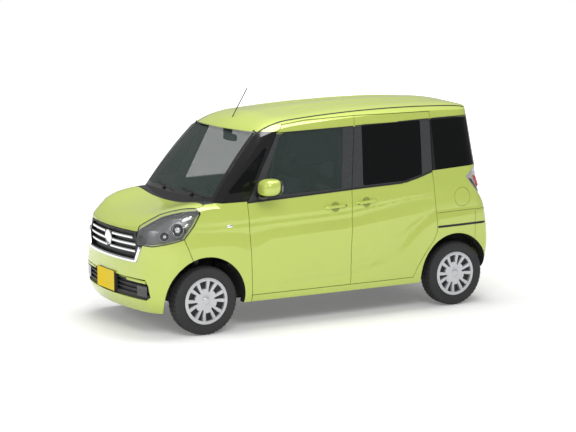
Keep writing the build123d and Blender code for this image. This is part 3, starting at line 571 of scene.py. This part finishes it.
RELIEF_PANELS = (
    "front_door_left", "front_door_right", "sliding_doors", "side_frame_left", "side_frame_right",
    "front_fenders", "front_bumper", "rear_bumper",
)
for node_name in RELIEF_PANELS:
    rides_on = node_name if node_name.startswith("front_door") else "body"
    relief_copy(node_name, NODE_FINISHES[node_name], rides_on)

DOOR_SKINS = {name: skin_of(f"front_door_{name}_relief", f"front_door_glass_{name}") for name in SIDES}
SLIDE_SKIN = skin_of("sliding_doors_relief", "sliding_door_glass")
BODY_SKIN = skin_of("side_frame_left_relief", "side_frame_right_relief", "roof_panel",
                    "front_fenders_relief", "rear_bumper_relief")
NOSE_SKIN = skin_of("front_bumper_relief", "grille", "lower_grille", "bonnet")
TAIL_SKIN = skin_of("tailgate", "tailgate_glass", "rear_bumper_relief")
SCREEN_SKIN = skin_of("windscreen")


# Seals and seams of each side. Columns: name, surface, guide line of x and z, width, how proud.
SIDE_RIBBONS = (
    ("belt_seal", "door", ((-752, 1049), (-560, 1056), (222, 1090)), 16, 3),
    ("head_seal", "door", ((-436, 1584), (-360, 1586), (286, 1604)), 9, 1.5),
    ("slide_belt_seal", "slide", ((236, 1091), (720, 1108), (880, 1138), (1043, 1184)), 16, 3),
    ("slide_head_seal", "slide", ((304, 1606), (1052, 1630)), 9, 1.5),
    ("slide_rail", "body", ((1080, 706), (1590, 712)), 20, 0.8),
    ("quarter_seam", "body", ((1078, 826), (1474, 835)), 3.5, 0.3),
    ("quarter_head_seal", "body", ((1062, 1631), (1470, 1640)), 9, 1.5),
)
FRONT_HANDLE = ((-58, 951), (168, 961))
SLIDE_HANDLE = ((250, 966), (472, 982))
SCOOP_RIM = ((-2.0, 47.0), (1.2, 46.0), (1.2, 42.0), (-1.0, 41.0))
# Flat disc just proud of the door, in darker paint: painted shade standing in for the scoop's recess
SCOOP_SHADE_DISC = ((0.9, 42.0), (0.8, 30.0), (0.7, 12.0), (0.7, 0.01))
BUTTON_INSET, BUTTON_OUT = 20, 23


def handle(name, line, side, skin, body):
    """Bar handle with a scoop behind its middle and a button near one end. The scoop is a rim round a flat
    disc in darker paint: painted shade in place of its recess.
    """
    (front_x, front_z), (rear_x, rear_z) = line
    guide, direction = side_line([((front_x + rear_x) / 2, (front_z + rear_z) / 2)] * 2, side)
    place, normal = drape(guide, direction, skin)[0]
    turned_piece(name + "_scoop_rim", SCOOP_RIM, place / MM, normal, TRIM_PAINT, body)
    # Flat darker disc: painted shade in the scoop
    turned_piece(name + "_scoop", SCOOP_SHADE_DISC, place / MM, normal, SCOOP_SHADE_PAINT, body)
    side_ribbon(name, line, side, skin, 27, 24, TRIM_PAINT, body, step=0.012, taper=True)
    button = Vector((rear_x - BUTTON_INSET, place.y / MM, rear_z - 1)) + normal * BUTTON_OUT
    if name.startswith("slide"):
        button.x = front_x + BUTTON_INSET
        button.z = front_z + 1
    blob(name + "_button", button, (6, 2.5, 6), 1.0, BLACK_PLASTIC, body, count=10)


# Mirrors: rounded cap on a black foot, with the glass on its rear face. Sizes: height of the
# cap's middle, half its height, how far its lower edge leans forward.
MIRROR_Z, MIRROR_HALF, MIRROR_LEAN = 1176, 66, 18


def door_mirror(side_name, side):
    """Mirror of one door."""
    door = f"front_door_{side_name}"
    cap = blob(f"mirror_cap_{side_name}", (-628, side * 832, MIRROR_Z), (80, 97, MIRROR_HALF), 0.66,
               TRIM_PAINT, door)
    for vertex in cap.data.vertices:
        low = (MIRROR_Z * MM - vertex.co.z) / (MIRROR_HALF * MM)
        vertex.co.x -= MIRROR_LEAN * MM * low * abs(low)
    blob(f"mirror_glass_{side_name}", (-552, side * 834, MIRROR_Z), (5, 82, 53), 0.5, CHROME, door)
    blob(f"mirror_rim_{side_name}", (-560, side * 834, MIRROR_Z), (10, 88, 59), 0.5, GLOSS_BLACK, door)
    turn = Matrix.Rotation(side * math.radians(-16), 3, "X")
    foot = blob(f"mirror_foot_{side_name}", (-655, side * 748, 1100), (42, 52, 15), 0.6, GLOSS_BLACK,
                door, turn)
    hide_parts(f"mirror_{side_name}")


for side_name, side in SIDES.items():
    door, door_skin = f"front_door_{side_name}", DOOR_SKINS[side_name]
    surfaces = {"door": (door_skin, door), "slide": (SLIDE_SKIN, "body"), "body": (BODY_SKIN, "body")}
    for name, surface, line, width, proud in SIDE_RIBBONS:
        skin, body = surfaces[surface]
        side_ribbon(f"{name}_{side_name}", line, side, skin, width, proud, RUBBER_SEAL, body)
    handle(f"front_handle_{side_name}", FRONT_HANDLE, side, door_skin, door)
    handle(f"slide_handle_{side_name}", SLIDE_HANDLE, side, SLIDE_SKIN, "body")
    gutter = [(x, side * 541, 0) for x in (-598, -400, 0, 600, 1100, 1466)]
    ribbon(f"roof_gutter_{side_name}", gutter, (0, 0, -1), BODY_SKIN, 17, 3, RUBBER_SEAL, "body")
    for rib_y in (150, 330):
        rib = [(x, side * rib_y, 0) for x in (-200, 300, 1300)]
        ribbon(f"roof_rib_{rib_y}_{side_name}", rib, (0, 0, -1), BODY_SKIN, 34, 3.5, TRIM_PAINT, "body",
               step=0.05, taper=True)
    side_ribbon(f"turn_lamp_{side_name}", ((-960, 868), (-905, 872)), side, BODY_SKIN, 24, 8, CHROME,
                "body", step=0.006, taper=True)
for side_name, side in SIDES.items():
    door_mirror(side_name, side)


# Lamps and window borders
def outer_copy(node_name, facing, limit, side=0):
    """Faces of a node that look along a direction, of one side of the car or of both."""
    shape = mesh_of(node_name)
    shape.normal_update()
    look = Vector(facing).normalized()
    away = [f for f in shape.faces if f.normal.dot(look) < limit]
    bmesh.ops.delete(shape, geom=away, context="FACES")
    bmesh.ops.dissolve_limit(shape, angle_limit=math.radians(0.5), verts=shape.verts, edges=shape.edges)
    other = [f for f in shape.faces if f.calc_center_median().y * side < 0]
    bmesh.ops.delete(shape, geom=other, context="FACES")
    return shape


def border(name, node_name, facing, width, material, body, limit=0.3, lift=0.5, side=0):
    """Band along the edge of a pane or lens, lying on its outer face."""
    shape = outer_copy(node_name, facing, limit, side)
    made = bmesh.ops.inset_region(shape, faces=shape.faces[:], thickness=width * MM,
                                  use_even_offset=True, use_boundary=True)
    band = set(made["faces"])
    bmesh.ops.delete(shape, geom=[f for f in shape.faces if f not in band], context="FACES")
    shape.normal_update()
    for vertex in shape.verts:
        vertex.co += vertex.normal * lift * MM
    return mesh_object(name, shape, material, body)


def tub(name, node_name, facing, depth, material, body, side, limit):
    """Housing behind a lens: walls in from the edge of its outer face, and a floor."""
    shape = outer_copy(node_name, facing, limit, side)
    look = Vector(facing).normalized()
    front = shape.faces[:]
    made = bmesh.ops.extrude_face_region(shape, geom=front, use_keep_orig=True)
    floor = [g for g in made["geom"] if isinstance(g, bmesh.types.BMVert)]
    centre = sum((v.co for v in floor), Vector()) / len(floor)
    for vertex in floor:
        vertex.co = centre + (vertex.co - centre) * 0.9 - look * depth * MM
    bmesh.ops.delete(shape, geom=front, context="FACES_ONLY")
    bmesh.ops.triangulate(shape, faces=shape.faces)
    for vertex in shape.verts:
        vertex.co -= look * MM
    return mesh_object(name, shape, material, body)


# Section of a reflector's bowl: distance forward at the radius BOWL_RADIUS, share of the radius
BOWL_RADIUS, BOWL_BACK, REFLECTOR_DEPTH, TUB_PROUD = 26, 14, 26, 14
BOWL = ((0.0, 0.01), (1.5, 0.35), (6.0, 0.7), (14.0, 0.95), (18.0, 1.0), (18.0, 1.08), (12.0, 1.08))


def reflector(name, centre, axis, radius, lens_radius, body):
    """Chromed bowl with a projector or bulb in it."""
    profile = [(offset * radius / BOWL_RADIUS - BOWL_BACK, share * radius) for offset, share in BOWL]
    turned_piece(name, profile, centre, axis, CHROME, body)
    collar = ((-16, lens_radius * 1.25), (4, lens_radius * 1.2), (6, lens_radius * 1.05), (2, lens_radius))
    turned_piece(name + "_collar", collar, centre, axis, LAMP_DARK, body)
    dome = [(-2 + math.cos(a) * lens_radius * 0.5, max(0.01, math.sin(a) * lens_radius))
            for a in [math.pi / 2 * k / 6 for k in range(6, -1, -1)]]
    turned_piece(name + "_projector", dome, centre, axis, SATIN_SILVER, body)


# Reflectors of a headlamp. Columns: name, place along the car, height, radius, projector radius.
REFLECTORS = (
    ("main_beam", -1395, 872, 50, 24),
    ("side_beam", -1490, 822, 36, 15),
)
# Bars inside a headlamp. Columns: name, guide line of x and z, width, finish.
LAMP_BARS = (
    ("lamp_brow", ((-1340, 925), (-1255, 948), (-1215, 960)), 30, CHROME),
    ("lamp_wing", ((-1320, 880), (-1262, 905)), 26, CHROME),
    ("lamp_corner", ((-1345, 835), (-1290, 862)), 34, LAMP_DARK),
)
# Bars inside a tail lamp. Columns: name, guide line of x and z, width, how proud, finish.
TAIL_BARS = (
    ("tail_red", ((1512, 1120), (1560, 1010)), 30, 16, RED_LENS),
    ("tail_dark", ((1452, 1098), (1540, 960)), 26, 12, LAMP_DARK),
)
LAMP_SKIN = skin_of("headlamps")
for side_name, side in SIDES.items():
    look = (-0.62, side * 0.76, 0.15)
    lens_look = (-0.55, side * 0.62, 0.56)
    tub(f"lamp_tub_{side_name}", "headlamps", lens_look, 60, LAMP_SILVER, "body", side, 0.12)
    tub_skin = skin_of(f"lamp_tub_{side_name}")
    border(f"lamp_edge_{side_name}", "headlamps", lens_look, 9, GLOSS_BLACK, "body", 0.12, side=side)
    for name, x, z, radius, lens_radius in REFLECTORS:
        guide, direction = side_line([(x, z)] * 2, side)
        place = drape(guide, direction, LAMP_SKIN)[0][0]
        centre = place / MM - Vector(look).normalized() * REFLECTOR_DEPTH
        reflector(f"{name}_{side_name}", centre, look, radius, lens_radius, "body")
    for name, line, width, finish in LAMP_BARS:
        side_ribbon(f"{name}_{side_name}", line, side, tub_skin, width, TUB_PROUD, finish, "body",
                    taper=True)
    tail_look = (0.55, side * 0.83, 0.0)
    tub(f"tail_tub_{side_name}", "tail_lamps", tail_look, 24, SATIN_SILVER, "body", side, 0.1)
    tail_skin = skin_of(f"tail_tub_{side_name}")
    for name, line, width, proud, finish in TAIL_BARS:
        side_ribbon(f"{name}_{side_name}", line, side, tail_skin, width, proud, finish, "body",
                    taper=True)
    border(f"tail_edge_{side_name}", "tail_lamps", tail_look, 7, CHROME, "body", 0.1, side=side)

border("windscreen_border", "windscreen", (-0.75, 0, 0.66), 34, GLOSS_BLACK, "body")
border("tailgate_glass_border", "tailgate_glass", (1, 0, 0.2), 24, GLOSS_BLACK, "tailgate")

# Grille: chrome surround along the bottom and sides, slats each side of a blank disc
NOSE = (1, 0, 0)
SURROUND = ((0, -497, 738), (0, -468, 668), (0, -440, 607), (0, -300, 606), (0, 0, 606), (0, 300, 606),
            (0, 440, 607), (0, 468, 668), (0, 497, 738))
ribbon("grille_surround", SURROUND, NOSE, NOSE_SKIN, 30, 9, CHROME, "body")
# Slats of each side. Columns: height, where it starts and where it ends across the car.
GRILLE_SLATS = ((786, 66, 384), (732, 66, 424), (678, 30, 418))
for slat_z, inner, reach in GRILLE_SLATS:
    for side_name, side in SIDES.items():
        guide = [(0, side * inner, slat_z), (0, side * reach, slat_z + 4)]
        ribbon(f"grille_slat_{slat_z}_{side_name}", guide, NOSE, NOSE_SKIN, 22, 6, CHROME, "body")
DISC = ((0, 62), (9, 61), (11, 56), (9, 50), (7, 46), (8, 20), (8.5, 0.01))
turned_piece("blank_emblem", DISC, (-1661, 0, 744), (-1, 0, 0), CHROME, "body")

# Lower mouth: painted cross bar, dark lamp panels and parking sensors
SENSOR = ((-1, 11), (0.6, 10.5), (1.0, 8), (0.4, 0.01))
for side_name, side in SIDES.items():
    bar = [(0, side * 172, 452), (0, side * 560, 446)]
    ribbon(f"mouth_bar_{side_name}", bar, NOSE, NOSE_SKIN, 24, 12, TRIM_PAINT, "body")
    panel = [(0, side * 455, 375), (0, side * 575, 375)]
    ribbon(f"mouth_panel_{side_name}", panel, NOSE, NOSE_SKIN, 92, 7, GLOSS_BLACK, "body")
    for sensor_y, sensor_z in ((150, 565), (450, 548)):
        dot = [(0, side * sensor_y - 1, sensor_z), (0, side * sensor_y + 1, sensor_z)]
        place, normal = drape(dot, NOSE, NOSE_SKIN)[0]
        turned_piece(f"parking_sensor_{sensor_y}_{side_name}", SENSOR, place / MM, normal, TRIM_PAINT,
                     "body", 24)


def plate(name, x, z, body):
    """Pressed plate with a raised rim and no characters."""
    shape = bmesh.new()
    bmesh.ops.create_cube(shape, size=1.0)
    for vertex in shape.verts:
        along, across, up = vertex.co
        vertex.co = Vector((x + along * PLATE_THICKNESS, across * (PLATE_WIDTH - 2),
                            z + up * (PLATE_HEIGHT - 2))) * MM
    front = [f for f in shape.faces if f.normal.x * x > 0.5]
    bmesh.ops.inset_region(shape, faces=front, thickness=0.006, depth=0.0)
    bmesh.ops.inset_region(shape, faces=front, thickness=0.003, depth=-0.0008)
    return mesh_object(name, shape, PLATE_YELLOW, body)


plate("front_plate", PLATE_X - PLATE_PROUD, PLATE_Z, "body")

# Mouldings of the tailgate. Columns: name, guide line across it, width, how proud, finish, taper.
TAIL = (-1, 0, 0)
TAIL_RIBBONS = (
    ("tailgate_garnish", ((0, -260, 790), (0, 260, 790)), 52, 14, TRIM_PAINT, True),
    ("tailgate_grip", ((0, -120, 762), (0, 120, 762)), 22, 8, GLOSS_BLACK, False),
    ("rear_wiper", ((0, 20, 1262), (0, -330, 1300)), 16, 14, BLACK_PLASTIC, True),
    ("high_stop_lamp", ((0, -110, 1664), (0, 110, 1664)), 16, 3, RED_LENS, False),
)
for name, line, width, proud, finish, taper in TAIL_RIBBONS:
    ribbon(name, line, TAIL, TAIL_SKIN, width, proud, finish, "tailgate", taper=taper)
for side_name, side in SIDES.items():
    reflector_line = [(0, side * 560, 395), (0, side * 640, 395)]
    ribbon(f"rear_reflector_{side_name}", reflector_line, TAIL, TAIL_SKIN, 26, 4, RED_LENS, "body")

# Wipers on the windscreen, and the inside mirror behind it
WIPERS = (
    ("left", ((0, -560, 1082), (0, -330, 1098), (0, -70, 1128)), ((0, -330, 1062), (0, -300, 1108))),
    ("right", ((0, -60, 1082), (0, 170, 1100), (0, 430, 1126)), ((0, 170, 1062), (0, 190, 1108))),
)
for name, blade, arm in WIPERS:
    ribbon(f"wiper_blade_{name}", blade, NOSE, SCREEN_SKIN, 14, 12, BLACK_PLASTIC, "body", taper=True)
    ribbon(f"wiper_arm_{name}", arm, NOSE, SCREEN_SKIN, 20, 20, BLACK_PLASTIC, "body")
blob("inside_mirror", (-540, 0, 1500), (14, 112, 30), 0.5, BLACK_PLASTIC, "body")
blob("inside_mirror_stem", (-560, 0, 1556), (34, 36, 34), 0.6, BLACK_PLASTIC, "body")


# Wheels: cover with six deep pockets between paired spokes and six narrow slots
COVER_RIM, COVER_EDGE, POCKET_END = 190.0, 176.0, 163.0
POCKET_START, SLOT_START, SPOKE_START, CAP = 100.0, 76.0, 90.0, 29.0
POCKET_DEPTH, SLOT_DEPTH, WARP_START = 20.0, 16.0, 60.0
CAP_HEIGHT, CAP_EDGE_HEIGHT, SKIRT_HEIGHT = 66.0, 62.5, 58.0
COVER_FACE, COVER_DIP, COVER_RISE = 62.0, 6.0, 6.5
SPOKES = 6
FIRST_POCKET = 100.0
# Steps across one sixth of the cover. Columns: angle from the pocket's middle at the rim, angle
# at the hub, share of the pocket's depth, share of the slot's depth.
STEPS = (
    (0.0, 0.0, 1.0, 0.0), (5.5, 5.5, 1.0, 0.0), (10.5, 10.0, 1.0, 0.0), (11.6, 12.0, 0.0, 0.0),
    (15.0, 15.5, 0.0, 0.0), (18.5, 20.5, 0.0, 0.0), (21.6, 25.5, 0.0, 0.0), (22.8, 27.5, 0.0, 1.0),
    (26.5, 29.0, 0.0, 1.0), (30.0, 30.0, 0.0, 1.0),
)
# Rings of the cover from its middle out, each as a zone and a share of that zone's width
COVER_ROWS = (
    ("cap", 0.02), ("cap", 0.8), ("cap", 1.0), ("hub", 0.0), ("hub", 0.35), ("hub", 0.7), ("hub", 1.0),
    ("deep", 0.0), ("deep", 0.25), ("deep", 0.6), ("deep", 1.0), ("edge", 0.0), ("edge", 0.4),
    ("edge", 1.0), ("skirt", 0.0),
)


def cover_columns():
    """Angle steps right round the cover: rim angle, hub angle, pocket and slot shares."""
    sector = [(-rim, -hub, p, s) for rim, hub, p, s in reversed(STEPS[1:-1])] + list(STEPS)
    starts = [FIRST_POCKET + k * 360 / SPOKES for k in range(SPOKES)]
    return [(start + rim, start + hub, p, s) for start in starts for rim, hub, p, s in sector]


def cover_height(radius):
    """Face of the cover outboard of the wheel's middle, in millimetres."""
    if radius < CAP:
        return CAP_HEIGHT
    share = (radius - CAP) / (COVER_EDGE - CAP)
    return COVER_FACE - COVER_DIP * math.sin(math.pi * min(1.0, share)) + COVER_RISE * share


def wheel_point(axle_x, centre_y, side, radius, angle, out):
    """Place on a wheel, in metres, from its radius, angle and distance outboard of the middle."""
    return Vector((axle_x + radius * math.cos(angle), centre_y + side * out,
                   AXLE_Z + radius * math.sin(angle))) * MM


def wheel_cover(name, axle_x, centre_y, side, body):
    """Silver cover of one wheel with a plain cap; the floors of its pockets and slots are near-black,
    partly the dark steel wheel behind and partly painted shade.
    """
    shape = bmesh.new()
    columns = cover_columns()
    depths = {}
    rings = []
    for kind, share in COVER_ROWS:
        ring = []
        for rim_angle, hub_angle, pocket, slot in columns:
            start = POCKET_START if pocket else (SLOT_START if slot else SPOKE_START)
            depth = 0.0
            if kind == "cap":
                radius = CAP * share
                height = CAP_HEIGHT if share < 1.0 else CAP_EDGE_HEIGHT
            elif kind == "hub":
                radius = CAP + 2 + (start - CAP - 2) * share
                height = cover_height(radius)
            elif kind == "deep":
                radius = start + 2.5 + (POCKET_END - start - 2.5) * share
                depth = POCKET_DEPTH * pocket + SLOT_DEPTH * slot
                height = cover_height(radius) - depth
            elif kind == "edge":
                radius = POCKET_END + 1.5 + (COVER_RIM - POCKET_END - 1.5) * share
                height = cover_height(COVER_EDGE) + 1.5 - 5.0 * max(0.0, share - 0.4)
            else:
                radius, height = COVER_RIM, SKIRT_HEIGHT
            blend = min(1.0, max(0.0, (radius - WARP_START) / (POCKET_END - WARP_START)))
            angle = math.radians(hub_angle + (rim_angle - hub_angle) * blend)
            vertex = shape.verts.new(wheel_point(axle_x, centre_y, side, radius, angle, height))
            depths[vertex] = depth
            ring.append(vertex)
        rings.append(ring)
    # Floors of the pockets and slots, picked by depth, take the near-black steel: the dark steel wheel
    # behind them, and painted shade in the recesses
    dark = [f for f in join_rings(shape, rings) if min(depths[v] for v in f.verts) > 0]
    shape.faces.index_update()
    pockets = [face.index for face in dark]
    bmesh.ops.recalc_face_normals(shape, faces=shape.faces)
    piece = mesh_object(name, shape, WHEEL_SILVER, body, 28.0)
    piece.data.materials.append(WHEEL_DARK)
    for index in pockets:
        piece.data.polygons[index].material_index = 1


# Section of a rim: distance outboard of the middle, radius
RIM_PROFILE = ((57, 177.6), (60, 177.6), (60, 171), (40, 163), (-40, 163), (-60, 171), (-60, 177.6),
               (-57, 177.6), (-56, 174), (-38, 160), (30, 160), (33, 140), (24, 90), (31, 58), (31, 0.01))
# Section of a tyre from its outer bead over the tread to its inner bead. Columns: distance
# outboard of the middle, radius, 1 where the shoulder blocks are cut across.
TYRE_PROFILE = (
    (50, 178, 0), (57, 181, 0), (60.5, 192, 0), (66, 199, 0), (67, 201, 0), (72, 212, 0), (76, 224, 0),
    (77.4, 234, 0), (76.6, 246, 0), (74, 257, 0), (70.5, 265, 0), (66, 271, 1), (60, 275, 1),
    (50, 277.2, 1), (38, 278.0, 1), (37, 271.5, 0), (31, 271.5, 0), (30, 278.4, 0), (20, 278.5, 1),
    (8, 278.5, 1), (7, 271.5, 0), (-7, 271.5, 0), (-8, 278.5, 1), (-20, 278.5, 1), (-30, 278.4, 0),
    (-31, 271.5, 0), (-37, 271.5, 0), (-38, 278.0, 1), (-50, 277.2, 1), (-60, 275, 1), (-66, 271, 1),
    (-70.5, 265, 0), (-74, 257, 0), (-76.6, 246, 0), (-77.4, 234, 0), (-74, 216, 0), (-62, 192, 0),
    (-50, 178, 0),
)
TREAD_STEPS = 180
SIPE_DEPTH = 5.0


def treaded_tyre(name, axle_x, centre_y, side, body):
    """Tyre with three grooves round it and cuts across its shoulder and middle blocks."""
    shape = bmesh.new()
    rings = []
    for step in range(TREAD_STEPS):
        angle = 2 * math.pi * step / TREAD_STEPS
        ring = []
        for out, radius, cut in TYRE_PROFILE:
            reach = radius - (SIPE_DEPTH if cut and step % 4 == 0 else 0.0)
            ring.append(shape.verts.new(wheel_point(axle_x, centre_y, side, reach, angle, out)))
        rings.append(ring)
    for index, here in enumerate(rings):
        there = rings[(index + 1) % TREAD_STEPS]
        for place in range(len(TYRE_PROFILE) - 1):
            shape.faces.new((here[place], here[place + 1], there[place + 1], there[place]))
    bmesh.ops.recalc_face_normals(shape, faces=shape.faces)
    piece = mesh_object(name + "_tread", shape, RUBBER, body, 30.0)
    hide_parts(name)


WHEELS = (
    ("front_left", FRONT_AXLE_X, -FRONT_WHEEL_Y, -1), ("front_right", FRONT_AXLE_X, FRONT_WHEEL_Y, 1),
    ("rear_left", REAR_AXLE_X, -REAR_WHEEL_Y, -1), ("rear_right", REAR_AXLE_X, REAR_WHEEL_Y, 1),
)
for name, axle_x, centre_y, side in WHEELS:
    body = "wheel_" + name
    wheel_cover(f"cover_{name}", axle_x, centre_y, side, body)
    rim = turned_piece(f"rim_{name}", RIM_PROFILE, (axle_x, centre_y, AXLE_Z), (0, side, 0), WHEEL_DARK,
                       body, 72)
    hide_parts("wheel_" + name)
    treaded_tyre("tyre_" + name, axle_x, centre_y, side, body)


# Seats: padded cushions, backs and head restraints in woven cloth, on dark bases
def pad_box(shape, centre, size, tilt, round_by=0.045):
    """Rounded box for one pad, leaning back by a tilt in degrees."""
    made = bmesh.ops.create_cube(shape, size=1.0)
    turn = Matrix.Rotation(math.radians(tilt), 3, "Y")
    for vertex in made["verts"]:
        sized = Vector([v * s * MM for v, s in zip(vertex.co, size)])
        vertex.co = turn @ sized + Vector(centre) * MM
    edges = {e for v in made["verts"] for e in v.link_edges}
    bmesh.ops.bevel(shape, geom=list(edges), offset=round_by, segments=3, affect="EDGES", profile=0.5)


# Padding: voxel size, most it may swell, frames and pressure of the cloth, depth of the channels
VOXEL, SWELL, CLOTH_FRAMES, CLOTH_PRESSURE, CHANNEL_DEPTH = 0.016, 0.022, 20, 4.0, 0.009


def applied(obj):
    """Replace an object's mesh by the one its modifiers give, and drop them."""
    depsgraph = bpy.context.evaluated_depsgraph_get()
    mesh = bpy.data.meshes.new_from_object(obj.evaluated_get(depsgraph))
    obj.modifiers.clear()
    obj.data = mesh


def padded_piece(name, boxes, channels, node_name):
    """Pads of one node, blown up as cloth, with sewn channels; they replace the node."""
    shape = bmesh.new()
    for box in boxes:
        pad_box(shape, *box)
    piece = mesh_object(name, shape, SEAT_CLOTH, "body", 60.0)
    piece.modifiers.new("voxels", "REMESH").voxel_size = VOXEL
    applied(piece)
    start = [v.co.copy() for v in piece.data.vertices]
    cloth = piece.modifiers.new("cloth", "CLOTH")
    cloth.settings.use_pressure = True
    cloth.settings.uniform_pressure_force = CLOTH_PRESSURE
    cloth.settings.effector_weights.gravity = 0.0
    for frame_number in range(1, CLOTH_FRAMES + 1):
        bpy.context.scene.frame_set(frame_number)
    applied(piece)
    bpy.context.scene.frame_set(1)
    for vertex, before in zip(piece.data.vertices, start):
        moved = vertex.co - before
        if moved.length > SWELL:
            vertex.co = before + moved.normalized() * SWELL
    for vertex in piece.data.vertices:
        for axis, place, half in channels:
            gap = abs(abs(vertex.co[axis]) - place)
            if gap < half:
                vertex.co -= vertex.normal * CHANNEL_DEPTH * (1 - gap / half)
    piece.modifiers.new("smooth", "SUBSURF").levels = 1
    applied(piece)
    piece.data.shade_smooth()
    dress(piece, SEAT_CLOTH)
    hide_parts(node_name)


# Pads. Columns: centre, size, tilt.
FRONT_PADS = [row for side in SIDES.values() for row in (
    ((-160, side * 335, 505), (520, 430, 110), -4), ((165, side * 335, 830), (100, 410, 560), 14),
    ((218, side * 335, 1213), (62, 210, 150), 10),
)]
REAR_PADS = (
    ((860, 0, 505), (500, 920, 110), -4), ((1175, 0, 815), (95, 930, 530), 14),
    ((1232, -260, 1183), (62, 210, 150), 10), ((1232, 260, 1183), (62, 210, 150), 10),
)
padded_piece("front_seat_pads", FRONT_PADS, ((1, 0.225, 0.02), (1, 0.445, 0.02)), "front_seats")
padded_piece("rear_seat_pads", REAR_PADS, ((1, 0.13, 0.02), (1, 0.36, 0.02)), "rear_seat")
SEAT_BASES = (
    ("seat_base_left", (-170, -335, 374), (400, 330, 165)),
    ("seat_base_right", (-170, 335, 374), (400, 330, 165)),
    ("seat_base_rear", (870, 0, 430), (380, 800, 55)),
)
for name, centre, size in SEAT_BASES:
    base = bmesh.new()
    pad_box(base, centre, size, 0, 0.012)
    mesh_object(name, base, INTERIOR, "body")


# Floor, backdrop, light and camera. Columns of the lamps: name, place, aim, width, height, power.
FLOOR_GLOW = {"From Min": 2.2, "From Max": 7.0, "To Min": 0.16, "To Max": 1.0}
SKY_STRENGTH = 0.38
LAMPS = (
    ("key_lamp", (-3.0, -6.5, 6.0), (0, 0, 0.6), 5.0, 2.5, 300),
    ("roof_lamp", (0.5, 0.5, 7.0), (0, 0, 1.0), 5.0, 3.0, 330),
    ("nose_lamp", (-7.5, 0.5, 4.0), (-1.0, 0, 0.8), 3.0, 2.0, 90),
)


def studio_floor():
    """Pale floor that reads as white to the camera and keeps the car's shadow."""
    floor_mesh = bpy.data.meshes.new("studio_floor")
    floor_mesh.from_pydata([(-60, -60, 0), (60, -60, 0), (60, 60, 0), (-60, 60, 0)], [], [(0, 1, 2, 3)])
    floor = bpy.data.objects.new("studio_floor", floor_mesh)
    bpy.context.scene.collection.objects.link(floor)
    material, tree, shader = new_material("floor_white")
    shader.inputs["Base Color"].default_value = (0.9, 0.9, 0.9, 1)
    shader.inputs["Roughness"].default_value = 0.7
    shader.inputs["Specular IOR Level"].default_value = 0.1
    path = tree.nodes.new("ShaderNodeLightPath")
    seen = math_node(tree, "MAXIMUM", path.outputs["Is Camera Ray"], path.outputs["Is Glossy Ray"])
    shader.inputs["Emission Color"].default_value = (1, 1, 1, 1)
    place = tree.nodes.new("ShaderNodeTexCoord")
    reach = tree.nodes.new("ShaderNodeVectorMath")
    reach.operation = "LENGTH"
    tree.links.new(place.outputs["Object"], reach.inputs[0])
    glow = tree.nodes.new("ShaderNodeMapRange")
    glow.interpolation_type = "SMOOTHSTEP"
    for key, value in FLOOR_GLOW.items():
        glow.inputs[key].default_value = value
    tree.links.new(reach.outputs["Value"], glow.inputs["Value"])
    tree.links.new(math_node(tree, "MULTIPLY", seen, glow.outputs["Result"]),
              shader.inputs["Emission Strength"])
    dress(floor, material)


def studio():
    """White surroundings, soft lamps and the camera."""
    studio_floor()
    world = bpy.data.worlds.new("studio_world")
    bpy.context.scene.world = world
    world.use_nodes = True
    tree = world.node_tree
    sky = tree.nodes["Background"]
    sky.inputs["Color"].default_value = (1, 1, 1, 1)
    path = tree.nodes.new("ShaderNodeLightPath")
    seen = math_node(tree, "MAXIMUM", path.outputs["Is Camera Ray"], path.outputs["Is Transmission Ray"])
    strength = tree.nodes.new("ShaderNodeMapRange")
    tree.links.new(seen, strength.inputs["Value"])
    strength.inputs["To Min"].default_value = SKY_STRENGTH
    strength.inputs["To Max"].default_value = 1.0
    tree.links.new(strength.outputs["Result"], sky.inputs["Strength"])
    for name, place, aim, width, height, power in LAMPS:
        data = bpy.data.lights.new(name, "AREA")
        data.shape = "RECTANGLE"
        data.size, data.size_y = width, height
        data.energy = power
        lamp = bpy.data.objects.new(name, data)
        lamp.location = place
        lamp.rotation_euler = (Vector(aim) - Vector(place)).to_track_quat("-Z", "Y").to_euler()
        bpy.context.scene.collection.objects.link(lamp)
    data = bpy.data.cameras.new("photo_camera")
    data.lens = CAMERA_LENS
    data.sensor_width = 36.0
    data.clip_end = 200.0
    camera = bpy.data.objects.new("photo_camera", data)
    camera.location = CAMERA_AT
    aim = Vector(CAMERA_LOOKS_AT) - Vector(CAMERA_AT)
    camera.rotation_euler = aim.to_track_quat("-Z", "Y").to_euler()
    bpy.context.scene.collection.objects.link(camera)
    bpy.context.scene.camera = camera


studio()
bpy.context.scene.view_settings.view_transform = "Standard"
